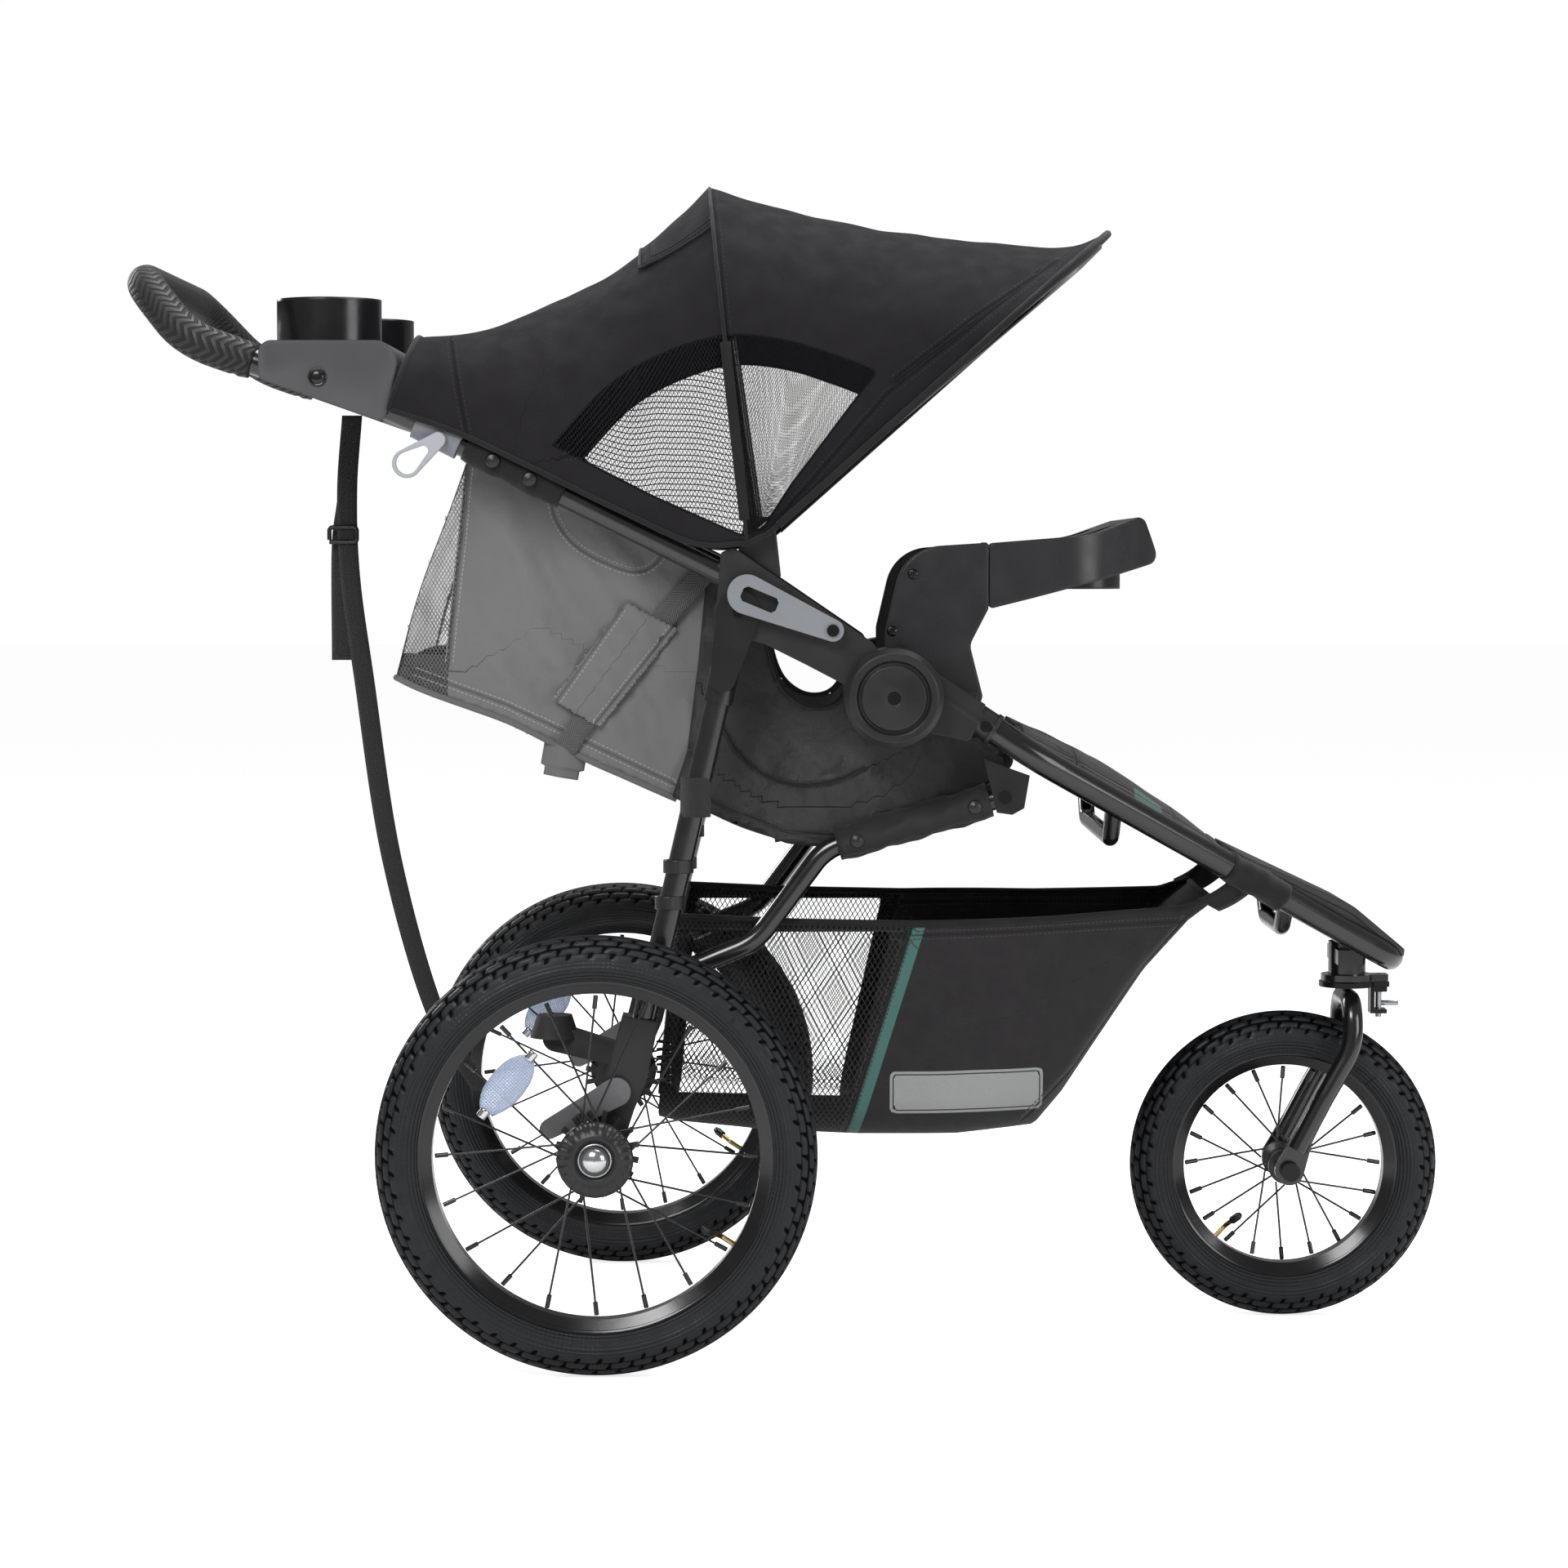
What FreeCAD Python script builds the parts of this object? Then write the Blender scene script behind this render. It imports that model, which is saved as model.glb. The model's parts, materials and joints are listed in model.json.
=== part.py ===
import FreeCAD, Part
import math
import os

import Sketcher
from FreeCAD import Placement, Rotation, Vector

os.makedirs("parts", exist_ok=True)
doc = FreeCAD.newDocument("JoggingStroller")

# ---------------------------------------------------------------------------
# Driving dimensions, in millimetres and degrees.
# Side-view places are given as the distance ahead of the rear axle and the
# height above the ground; the frame's origin lies on the ground under the
# middle of the stroller, +X forward, +Y to the stroller's left, +Z up.
# ---------------------------------------------------------------------------
SIZES = [
    ("axle_x", -183.75, "rear axle, measured from the origin"),
    ("gap", 0.3, "assembly gap between neighbouring pieces"),
    ("running", 0.05, "radial running clearance of a pin in its bore"),
    ("rear_wheel_radius", 199.5, "rear tyre, 16 x 1.75"),
    ("front_wheel_radius", 149.0, "front tyre, 12 1/2 x 1.75"),
    ("tyre_section", 23.5, "radius of the tyre's section"),
    ("tyre_wall", 3.0, "tyre thickness"),
    ("half_track", 275.0, "rear wheel planes, from the middle"),
    ("front_axle_ahead", 655.0, "front axle, ahead of the rear axle"),
    ("steering_ahead", 716.0, "steering axis, ahead of the rear axle"),
    ("hinge_ahead", 268.0, "main folding hinge"),
    ("hinge_up", 611.0, "main folding hinge"),
    ("hub_radius", 45.0, "folding hinge disc"),
    ("leg_pivot_ahead", 127.9, "rear leg pivot on the hinge arm"),
    ("leg_pivot_up", 687.7, "rear leg pivot on the hinge arm"),
    ("link_pivot_ahead", 371.5, "seat frame pivot on the front frame"),
    ("link_pivot_up", 517.8, "seat frame pivot on the front frame"),
    ("canopy_pivot_ahead", 145.5, "canopy bow pivot"),
    ("canopy_pivot_up", 761.0, "canopy bow pivot"),
    ("recline_ahead", 192.0, "seat back recline axis"),
    ("recline_up", 470.0, "seat back recline axis"),
    ("brake_pivot_ahead", 17.0, "brake shaft"),
    ("brake_pivot_up", 253.0, "brake shaft"),
    ("lever_pivot_ahead", 213.1, "fold lever pivot"),
    ("lever_pivot_up", 671.6, "fold lever pivot"),
    ("lever_end_ahead", 136.0, "fold lever finger end"),
    ("lever_end_up", 704.0, "fold lever finger end"),
    ("tray_hinge_ahead", 371.0, "child tray hinge"),
    ("tray_hinge_side", 167.0, "child tray hinge"),
    ("tube_plane", 225.0, "handle and leg tubes, from the middle"),
    ("handle_radius", 12.0, "handle tube"),
    ("grip_radius", 17.5, "rubber grip"),
    ("frame_radius", 12.5, "front frame tube"),
    ("brace_radius", 8.0, "front frame cross braces"),
    ("leg_radius", 11.0, "rear leg tube"),
    ("link_radius", 9.5, "seat frame tube"),
    ("link_plane", 185.5, "seat frame tubes, from the middle"),
    ("tube_wall", 1.6, "wall of every steel tube"),
    ("axle_radius", 6.0, "wheel stub axle"),
    ("cross_axle_radius", 10.0, "rear cross axle"),
    ("hinge_pin_radius", 6.0, "folding hinge bolt"),
    ("leg_pin_radius", 5.0, "rear leg pin"),
    ("small_pin_radius", 4.0, "link, lever and canopy pins"),
    ("brake_shaft_radius", 5.0, "brake shaft"),
    ("brake_teeth", 16, "teeth of each wheel's brake ring"),
    ("brake_ring_radius", 38.0, "brake ring"),
    ("brake_angle", 15.0, "brake travel that seats the pawl"),
    ("cup_radius", 42.0, "parent cup holder bore"),
    ("cup_wall", 6.0, "parent cup holder wall"),
    ("cup_ahead", -250.0, "parent cup holders"),
    ("cup_side", 150.0, "parent cup holders"),
    ("cup_top", 974.0, "parent cup holder rim"),
    ("cup_depth", 70.0, "parent cup holder depth"),
    ("tray_cup_radius", 36.0, "child cup holder bore"),
    ("tray_cup_ahead", 446.0, "child cup holders"),
    ("tray_cup_side", 92.0, "child cup holders"),
    ("tray_cup_depth", 44.0, "child cup holder depth"),
    ("bow_radius", 4.0, "canopy bow"),
    ("sheet", 2.5, "canopy and basket cloth with its padding"),
    ("canopy_half", 247.0, "canopy half width"),
    ("basket_half", 174.0, "basket half width at the back"),
    ("seat_half", 164.0, "seat back half width"),
    ("seat_base_half", 155.0, "seat base half width"),
    ("spoke_count", 20, "spokes of each wheel"),
    ("spoke_radius", 1.0, "spoke"),
    ("lock_pin_ahead", 747.0, "swivel lock pin"),
    ("lock_pin_radius", 3.0, "swivel lock pin"),
]

sheet = doc.addObject("Spreadsheet::Sheet", "Sizes")
for row, (alias, value, meaning) in enumerate(SIZES, start=1):
    sheet.set(f"A{row}", alias)
    sheet.set(f"B{row}", str(value))
    sheet.set(f"C{row}", meaning)
    sheet.setAlias(f"B{row}", alias)
doc.recompute()

NODES = []


def size(alias):
    """A driving dimension's value."""
    return float(sheet.get(alias))


def at(ahead, up, side=0.0):
    """A place given ahead of the rear axle, above the ground and to the left."""
    return Vector(size("axle_x") + ahead, side, up)


def bind(thing, **sizes):
    """Bind each named property to an expression over the sheet."""
    for name, expression in sizes.items():
        thing.setExpression(name, expression)
    return thing


def cell(alias):
    return f"Sizes.{alias}"


def node(thing, name):
    """Mark a finished sub-part; its label names its file."""
    thing.Label = name
    NODES.append(thing)
    return thing


# ---------------------------------------------------------------------------
# Builders shared by many sub-parts
# ---------------------------------------------------------------------------
def primitive(kind, name, placement, **sizes):
    """A Part primitive with its sizes bound to the sheet."""
    thing = doc.addObject(f"Part::{kind}", name)
    bind(thing, **{key: str(value) for key, value in sizes.items()})
    thing.Placement = placement
    return thing


ALONG_Y = Rotation(Vector(1, 0, 0), -90)


def pin(name, ahead, up, side_from, side_to, radius):
    """A round pin along Y between two distances from the middle."""
    low = min(side_from, side_to)
    place = Placement(at(ahead, up, low), ALONG_Y)
    return primitive("Cylinder", name, place, Radius=radius, Height=abs(side_to - side_from))


def rod(name, start, end, radius):
    """A round rod between two points."""
    turn = Rotation(Vector(0, 0, 1), end - start)
    place = Placement(start, turn)
    return primitive("Cylinder", name, place, Radius=radius, Height=(end - start).Length)


def block(name, low, high):
    """A rectangular block between two corners."""
    place = Placement(low, Rotation())
    span = high - low
    return primitive("Box", name, place, Length=span.x, Width=span.y, Height=span.z)


def cut(name, base, *tools):
    """The base with every tool taken away."""
    tool = tools[0]
    if len(tools) > 1:
        tool = doc.addObject("Part::MultiFuse", f"{name}_tools")
        tool.Shapes = list(tools)
    thing = doc.addObject("Part::Cut", name)
    thing.Base = base
    thing.Tool = tool
    return thing


def fuse(name, *shapes):
    thing = doc.addObject("Part::MultiFuse", name)
    thing.Shapes = list(shapes)
    return thing


def common(name, *shapes):
    thing = doc.addObject("Part::MultiCommon", name)
    thing.Shapes = list(shapes)
    return thing


def mirrored(source):
    """The same piece on the other side of the stroller."""
    thing = doc.addObject("Part::Mirroring", f"{source.Name}_left")
    thing.Source = source
    thing.Normal = Vector(0, 1, 0)
    thing.Base = Vector(0, 0, 0)
    return thing


def group(name, *shapes):
    """Separate solids that share one node."""
    thing = doc.addObject("Part::Compound", name)
    thing.Links = list(shapes)
    return node(thing, name)


def pair(name, source):
    return group(name, source, mirrored(source))


def origin_plane(body, role):
    """One of a body's own origin planes or axes."""
    return next(f for f in body.Origin.OriginFeatures if f.Role == role)


def new_sketch(body, role, name):
    sketch = body.newObject("Sketcher::SketchObject", name)
    sketch.AttachmentSupport = [(origin_plane(body, role), "")]
    sketch.MapMode = "FlatFace"
    return sketch


def hold_point(sketch, line, end, place):
    """Hold one end of a line by its two distances from the origin."""
    sketch.addConstraint(Sketcher.Constraint("DistanceX", -1, 1, line, end, place.x))
    sketch.addConstraint(Sketcher.Constraint("DistanceY", -1, 1, line, end, place.y))


def corner_arc(before, corner, after, radius):
    """The arc that rounds a corner: its two ends, centre and turning sense."""
    back = (before - corner).normalize()
    onward = (after - corner).normalize()
    half = back.getAngle(onward) / 2
    trim = radius / math.tan(half)
    if trim > (before - corner).Length or trim > (after - corner).Length:
        raise ValueError(f"radius {radius} does not fit at {corner}")
    centre = corner + (back + onward).normalize() * (radius / math.sin(half))
    left_turn = (corner - before).cross(after - corner).z > 0
    return corner + back * trim, corner + onward * trim, centre, left_turn


def draw_polygon(sketch, corners):
    """A closed outline held by distances from the origin. A corner is (x, y), or
    (x, y, radius) when it is rounded."""
    count = len(corners)
    points = [Vector(corner[0], corner[1], 0) for corner in corners]
    rounds = [corner[2] if len(corner) > 2 else 0.0 for corner in corners]
    arrive = list(points)
    leave = list(points)
    arcs = []
    for i, radius in enumerate(rounds):
        if radius:
            after = points[(i + 1) % count]
            arrive[i], leave[i], centre, left_turn = corner_arc(points[i - 1], points[i], after, radius)
            arcs.append((i, centre, left_turn))
    for i in range(count):
        sketch.addGeometry(Part.LineSegment(leave[i], arrive[(i + 1) % count]))
    for i in range(count):
        hold_point(sketch, i, 1, leave[i])
        if not rounds[i]:
            sketch.addConstraint(Sketcher.Constraint("Coincident", i - 1 if i else count - 1, 2, i, 1))
    for corner, centre, left_turn in arcs:
        previous = corner - 1 if corner else count - 1
        hold_point(sketch, previous, 2, arrive[corner])
        first, last = (arrive[corner], leave[corner]) if left_turn else (leave[corner], arrive[corner])
        start = math.atan2(first.y - centre.y, first.x - centre.x)
        sweep = (math.atan2(last.y - centre.y, last.x - centre.x) - start) % (2 * math.pi)
        circle = Part.Circle(centre, Vector(0, 0, 1), rounds[corner])
        arc = sketch.addGeometry(Part.ArcOfCircle(circle, start, start + sweep))
        arc_ends = (1, 2) if left_turn else (2, 1)
        sketch.addConstraint(Sketcher.Constraint("Coincident", previous, 2, arc, arc_ends[0]))
        sketch.addConstraint(Sketcher.Constraint("Coincident", corner, 1, arc, arc_ends[1]))
        sketch.addConstraint(Sketcher.Constraint("Radius", arc, rounds[corner]))


def add_holes(body, holes, depth):
    """Through holes along Y; each is (ahead, up, radius)."""
    sketch = new_sketch(body, "XZ_Plane", f"{body.Name}_holes")
    for i, (ahead, up, radius) in enumerate(holes):
        sketch.addGeometry(Part.Circle(Vector(ahead, up, 0), Vector(0, 0, 1), 1.0))
        bore = sketch.addConstraint(Sketcher.Constraint("Radius", i, 1.0))
        sketch.addConstraint(Sketcher.Constraint("DistanceX", -1, 1, i, 3, ahead))
        sketch.addConstraint(Sketcher.Constraint("DistanceY", -1, 1, i, 3, up))
        sketch.setExpression(f"Constraints[{bore}]", str(radius))
    pocket = body.newObject("PartDesign::Pocket", f"{body.Name}_pocket")
    pocket.Profile = sketch
    pocket.SideType = "Symmetric"
    bind(pocket, Length=f"4 * ({depth})")


def stand_up(body, side):
    """Put an upright body at the rear axle's distance from the origin."""
    body.Placement = Placement(Vector(size("axle_x"), side, 0), Rotation())
    bind(body, **{"Placement.Base.x": cell("axle_x")})
    return body


def plate(name, outline, thickness, side, holes=()):
    """An upright plate. Outline corners are ahead of the rear axle and above
    the ground; the plate is centred at the given distance from the middle."""
    body = doc.addObject("PartDesign::Body", name)
    sketch = new_sketch(body, "XZ_Plane", f"{name}_outline")
    draw_polygon(sketch, outline)
    pad = body.newObject("PartDesign::Pad", f"{name}_pad")
    pad.Profile = sketch
    pad.SideType = "Symmetric"
    bind(pad, Length=str(thickness))
    if holes:
        add_holes(body, holes, thickness)
    return stand_up(body, side)


def plan_prism(name, corners, top=1200):
    """An upright prism over an outline seen from above; corners are (ahead, side)."""
    body = doc.addObject("PartDesign::Body", name)
    sketch = new_sketch(body, "XY_Plane", f"{name}_outline")
    draw_polygon(sketch, corners)
    pad = body.newObject("PartDesign::Pad", f"{name}_pad")
    pad.Profile = sketch
    pad.Length = top
    return stand_up(body, 0.0)


def both_edges(corners):
    """Close a right-hand edge seen from above with its mirror image."""
    right = [(ahead, -side, *rounding) for ahead, side, *rounding in corners]
    return right + list(reversed(corners))


def tapered_plate(name, first, second, thickness, side, holes=()):
    """A lever-shaped upright plate around two round ends, each given as
    (ahead, up, radius)."""
    body = doc.addObject("PartDesign::Body", name)
    sketch = new_sketch(body, "XZ_Plane", f"{name}_outline")
    reach = math.hypot(second[0] - first[0], second[1] - first[1])
    heading = math.atan2(second[1] - first[1], second[0] - first[0])
    lean = math.acos((first[2] - second[2]) / reach)
    ends = []
    for (ahead, up, radius), start, sweep in (
        (first, heading + lean, 2 * (math.pi - lean)),
        (second, heading - lean, 2 * lean),
    ):
        circle = Part.Circle(Vector(ahead, up, 0), Vector(0, 0, 1), radius)
        ends.append(Part.ArcOfCircle(circle, start, start + sweep))
    first_arc, second_arc = ends
    sketch.addGeometry(first_arc)
    sketch.addGeometry(Part.LineSegment(first_arc.EndPoint, second_arc.StartPoint))
    sketch.addGeometry(second_arc)
    sketch.addGeometry(Part.LineSegment(second_arc.EndPoint, first_arc.StartPoint))
    for i in range(4):
        sketch.addConstraint(Sketcher.Constraint("Tangent", i, 2, (i + 1) % 4, 1))
    for i, (ahead, up, radius) in ((0, first), (2, second)):
        sketch.addConstraint(Sketcher.Constraint("Radius", i, radius))
        sketch.addConstraint(Sketcher.Constraint("DistanceX", -1, 1, i, 3, ahead))
        sketch.addConstraint(Sketcher.Constraint("DistanceY", -1, 1, i, 3, up))
    pad = body.newObject("PartDesign::Pad", f"{name}_pad")
    pad.Profile = sketch
    pad.SideType = "Symmetric"
    bind(pad, Length=str(thickness))
    if holes:
        add_holes(body, holes, thickness)
    return stand_up(body, side)


def turned(name, outline):
    """A body turned about Y; outline corners are (radius, place along Y)."""
    body = doc.addObject("PartDesign::Body", name)
    sketch = new_sketch(body, "XY_Plane", f"{name}_profile")
    draw_polygon(sketch, outline)
    spin = body.newObject("PartDesign::Revolution", f"{name}_spin")
    spin.Profile = sketch
    spin.ReferenceAxis = (sketch, ["V_Axis"])
    spin.Angle = 360
    return body


def rounded_path(points, bends):
    """A wire through the points whose inner corners are arcs of the given radii."""
    edges = []
    start = points[0]
    for i in range(1, len(points) - 1):
        corner = points[i]
        back = (points[i - 1] - corner).normalize()
        ahead = (points[i + 1] - corner).normalize()
        half = back.getAngle(ahead) / 2
        radius = bends[i - 1]
        trim = radius / math.tan(half)
        if trim > (corner - start).Length or trim > (points[i + 1] - corner).Length:
            raise ValueError(f"bend {i} of radius {radius} does not fit")
        centre = corner + (back + ahead).normalize() * (radius / math.sin(half))
        arc_start = corner + back * trim
        arc_end = corner + ahead * trim
        arc_middle = centre + (corner - centre).normalize() * radius
        edges.append(Part.LineSegment(start, arc_start).toShape())
        edges.append(Part.Arc(arc_start, arc_middle, arc_end).toShape())
        start = arc_end
    edges.append(Part.LineSegment(start, points[-1]).toShape())
    return Part.Wire(edges)


def swept(name, points, bends, radius):
    """A round bar swept along a rounded path; the radius is an expression."""
    path = doc.addObject("Part::Feature", f"{name}_path")
    path.Shape = rounded_path(points, bends)
    ring = doc.addObject("Part::Circle", f"{name}_ring")
    bind(ring, Radius=radius)
    heading = Rotation(Vector(0, 0, 1), points[1] - points[0])
    ring.Placement = Placement(points[0], heading)
    bar = doc.addObject("Part::Sweep", name)
    bar.Sections = [ring]
    bar.Spine = (path, [f"Edge{i + 1}" for i in range(len(path.Shape.Edges))])
    bar.Solid = True
    bar.Frenet = False
    bar.Transition = "Right corner"
    return bar


def tube(name, points, bends, radius):
    """A hollow steel tube."""
    outside = swept(f"{name}_outside", points, bends, radius)
    inside = swept(f"{name}_inside", points, bends, f"{radius} - Sizes.tube_wall")
    return cut(name, outside, inside)


def both_sides(points):
    """Carry a right-hand path across the middle and back down the left."""
    return points + [Vector(p.x, -p.y, p.z) for p in reversed(points)]


# ---------------------------------------------------------------------------
# Places used by several sub-parts
# ---------------------------------------------------------------------------
HINGE = (size("hinge_ahead"), size("hinge_up"))
LEG_PIVOT = (size("leg_pivot_ahead"), size("leg_pivot_up"))
LINK_PIVOT = (size("link_pivot_ahead"), size("link_pivot_up"))
CANOPY_PIVOT = (size("canopy_pivot_ahead"), size("canopy_pivot_up"))
LEVER_PIVOT = (size("lever_pivot_ahead"), size("lever_pivot_up"))
LEVER_END = (size("lever_end_ahead"), size("lever_end_up"))
BRAKE_PIVOT = (size("brake_pivot_ahead"), size("brake_pivot_up"))
REAR_AXLE_UP = size("rear_wheel_radius")
TUBE_PLANE = size("tube_plane")
LINK_PLANE = size("link_plane")
HANDLE = cell("handle_radius")
FRAME = cell("frame_radius")
LEG = cell("leg_radius")
LINK = cell("link_radius")

LEG_AXIS = (at(*LEG_PIVOT) - at(20, 225)).normalize()


def on_leg(distance, side=-TUBE_PLANE):
    """A place down the right leg, measured from the leg pivot."""
    top = at(*LEG_PIVOT, side)
    return top - LEG_AXIS * distance


# ---------------------------------------------------------------------------
# Wheels
# ---------------------------------------------------------------------------
def make_tyre(name, radius_cell, centre):
    """A tyre: an open ring whose beads sit either side of the rim."""
    section = size("tyre_section")
    ring_radius = f"{radius_cell} - Sizes.tyre_section"
    place = Placement(centre, ALONG_Y)
    outside = primitive("Torus", f"{name}_outside", place, Radius1=ring_radius, Radius2=cell("tyre_section"))
    inner_radius = "Sizes.tyre_section - Sizes.tyre_wall"
    inside = primitive("Torus", f"{name}_inside", place, Radius1=ring_radius, Radius2=inner_radius)
    opening_place = Placement(centre - Vector(0, section, 0), ALONG_Y)
    opening_radius = f"{radius_cell} - 37"
    opening = primitive(
        "Cylinder", f"{name}_opening", opening_place, Radius=opening_radius, Height=2 * section
    )
    return node(cut(name, outside, inside, opening), name)


def make_rim(name, edge, centre):
    """A box-section rim; edge is the radius of its outer lips."""
    profile = [
        (edge, -14), (edge, -12), (edge - 6, -10), (edge - 10, -7), (edge - 10, 7), (edge - 6, 10),
        (edge, 12), (edge, 14), (edge - 6, 14), (edge - 15, 8), (edge - 15, -8), (edge - 6, -14),
    ]
    body = turned(name, profile)
    body.Placement = Placement(centre, Rotation())
    return node(body, name)


def make_spokes(name, centre, rim_radius, flange_radius, flanges):
    """Crossed spokes, each with its nipple at the rim."""
    count = int(size("spoke_count"))
    spokes = []
    for i in range(count):
        side = flanges[i % 2]
        rim_angle = 2 * math.pi * i / count
        lead = math.radians(32) * (1 if i % 4 < 2 else -1)
        hub_angle = rim_angle + lead
        start = Vector(flange_radius * math.cos(hub_angle), side, flange_radius * math.sin(hub_angle))
        end = Vector(rim_radius * math.cos(rim_angle), 0, rim_radius * math.sin(rim_angle))
        run = (end - start).normalize()
        wire = Part.makeCylinder(size("spoke_radius"), (end - start).Length, start, run)
        nipple_length = 12
        nipple = Part.makeCylinder(2.2, nipple_length, end - run * nipple_length, run)
        spokes.append(wire.fuse(nipple))
    thing = doc.addObject("Part::Feature", name)
    thing.Shape = Part.makeCompound(spokes)
    thing.Placement = Placement(centre, Rotation())
    return node(thing, name)


def make_rear_hub(name, centre, turn):
    """A rear hub with two spoke flanges and, inboard, the toothed brake ring."""
    bore = size("axle_radius") + size("running")
    ring = size("brake_ring_radius")
    tooth_root = 27.0
    profile = [
        (bore, -25), (tooth_root, -25), (tooth_root, -15), (18, -13), (24, -12), (24, -9), (15, -7),
        (15, 14), (24, 16), (24, 19), (18, 21), (18, 26), (bore, 26),
    ]
    body = turned(name, profile)
    tooth_sketch = new_sketch(body, "XZ_Plane", f"{name}_tooth_outline")
    width = 4.4
    half = math.pi / size("brake_teeth")
    bore = tooth_root - 3
    outline = [(bore, -width / 2), (ring, -width / 2), (ring, width / 2), (bore, width / 2)]
    turned_outline = [
        (x * math.cos(half) - y * math.sin(half), x * math.sin(half) + y * math.cos(half)) for x, y in outline
    ]
    draw_polygon(tooth_sketch, turned_outline)
    tooth_sketch.AttachmentOffset = Placement(Vector(0, 0, 16), Rotation())
    tooth = body.newObject("PartDesign::Pad", f"{name}_tooth")
    tooth.Profile = tooth_sketch
    tooth.Length = 9
    doc.recompute()
    ring_of_teeth = body.newObject("PartDesign::PolarPattern", f"{name}_teeth")
    ring_of_teeth.Originals = [tooth]
    ring_of_teeth.Axis = (origin_plane(body, "Y_Axis"), [""])
    ring_of_teeth.Angle = 360
    bind(ring_of_teeth, Occurrences=cell("brake_teeth"))
    body.Tip = ring_of_teeth
    body.Placement = Placement(centre, Rotation(Vector(0, 0, 1), turn))
    return node(body, name)


def make_reflector(name, centre, angle):
    """A leaf-shaped reflector clipped between the spokes."""
    outline = [(84, -17), (94, -27), (118, -27), (128, -17), (128, 17), (118, 27), (94, 27), (84, 17)]
    body = doc.addObject("PartDesign::Body", name)
    sketch = new_sketch(body, "XZ_Plane", f"{name}_outline")
    draw_polygon(sketch, outline)
    pad = body.newObject("PartDesign::Pad", f"{name}_pad")
    pad.Profile = sketch
    pad.SideType = "Symmetric"
    pad.Length = 5
    body.Placement = Placement(centre, Rotation(Vector(0, 1, 0), -angle))
    return node(body, name)


RIM_BELOW_TYRE = 37.0
RIM_DEPTH = 15.0
NIPPLE_ROOM = 2.5
rear_rim_edge = size("rear_wheel_radius") - RIM_BELOW_TYRE
front_rim_edge = size("front_wheel_radius") - RIM_BELOW_TYRE
for wheel_side, sign, turn in (("right", -1, 180), ("left", 1, 0)):
    wheel_centre = at(0, REAR_AXLE_UP, sign * size("half_track"))
    prefix = f"rear_{wheel_side}"
    make_tyre(f"{prefix}_tyre", cell("rear_wheel_radius"), wheel_centre)
    make_rim(f"{prefix}_rim", rear_rim_edge, wheel_centre)
    reach = rear_rim_edge - RIM_DEPTH - NIPPLE_ROOM
    make_spokes(f"{prefix}_spokes", wheel_centre, reach, 26.0, (sign * 17.5, sign * -10.5))
    make_rear_hub(f"{prefix}_hub", wheel_centre, turn)
    make_reflector(f"{prefix}_reflector", wheel_centre + Vector(0, sign * 14.0, 0), 145.0)

front_centre = at(size("front_axle_ahead"), size("front_wheel_radius"))
make_tyre("front_tyre", cell("front_wheel_radius"), front_centre)
make_rim("front_rim", front_rim_edge, front_centre)
front_reach = front_rim_edge - RIM_DEPTH - NIPPLE_ROOM
make_spokes("front_spokes", front_centre, front_reach, 18.0, (24.5, -24.5))
FRONT_BORE = 5.05
front_hub = turned("front_hub", [
    (FRONT_BORE, -38), (12, -38), (12, -27), (17, -26), (17, -23), (11, -20),
    (11, 20), (17, 23), (17, 26), (12, 27), (12, 38), (FRONT_BORE, 38),
])
front_hub.Placement = Placement(front_centre, Rotation())
node(front_hub, "front_hub")


# ---------------------------------------------------------------------------
# Front fork and its swivel
# ---------------------------------------------------------------------------
STEER = size("steering_ahead")
FRONT = size("front_axle_ahead")
FRONT_UP = size("front_wheel_radius")
LOCK = size("lock_pin_ahead")
FORK_SIDE = 49.0
HEAD_BOTTOM = 328.0


def make_fork():
    """Two curved fork legs under a crown, with flat ends on the front axle."""
    right_leg = [
        at(FRONT + 7, FRONT_UP + 20, -FORK_SIDE),
        at(FRONT + 34, FRONT_UP + 72, -FORK_SIDE),
        at(STEER, 268, -FORK_SIDE + 2),
        at(STEER, 311, -FORK_SIDE + 10),
    ]
    bar = swept("fork_bar", both_sides(right_leg), [60, 70, 25, 25, 70, 60], "9.5")
    ends = []
    for side in (-FORK_SIDE, FORK_SIDE):
        label = "right" if side < 0 else "left"
        arm = tapered_plate(
            f"fork_end_{label}", (FRONT, FRONT_UP, 14), (FRONT + 14, FRONT_UP + 34, 9), "6", side
        )
        ends.append(arm)
    legs = fuse("fork_legs", bar, *ends)
    axle_bore = pin("fork_axle_bore", FRONT, FRONT_UP, -80, 80, "5.05")
    node(cut("fork", legs, axle_bore), "fork")
    axle = pin("front_axle_rod", FRONT, FRONT_UP, -58, 58, "5")
    nuts = [
        pin("front_nut_right", FRONT, FRONT_UP, -62, -52.3, "9"),
        pin("front_nut_left", FRONT, FRONT_UP, 52.3, 62, "9"),
    ]
    node(fuse("front_axle", axle, *nuts), "front_axle")


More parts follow.
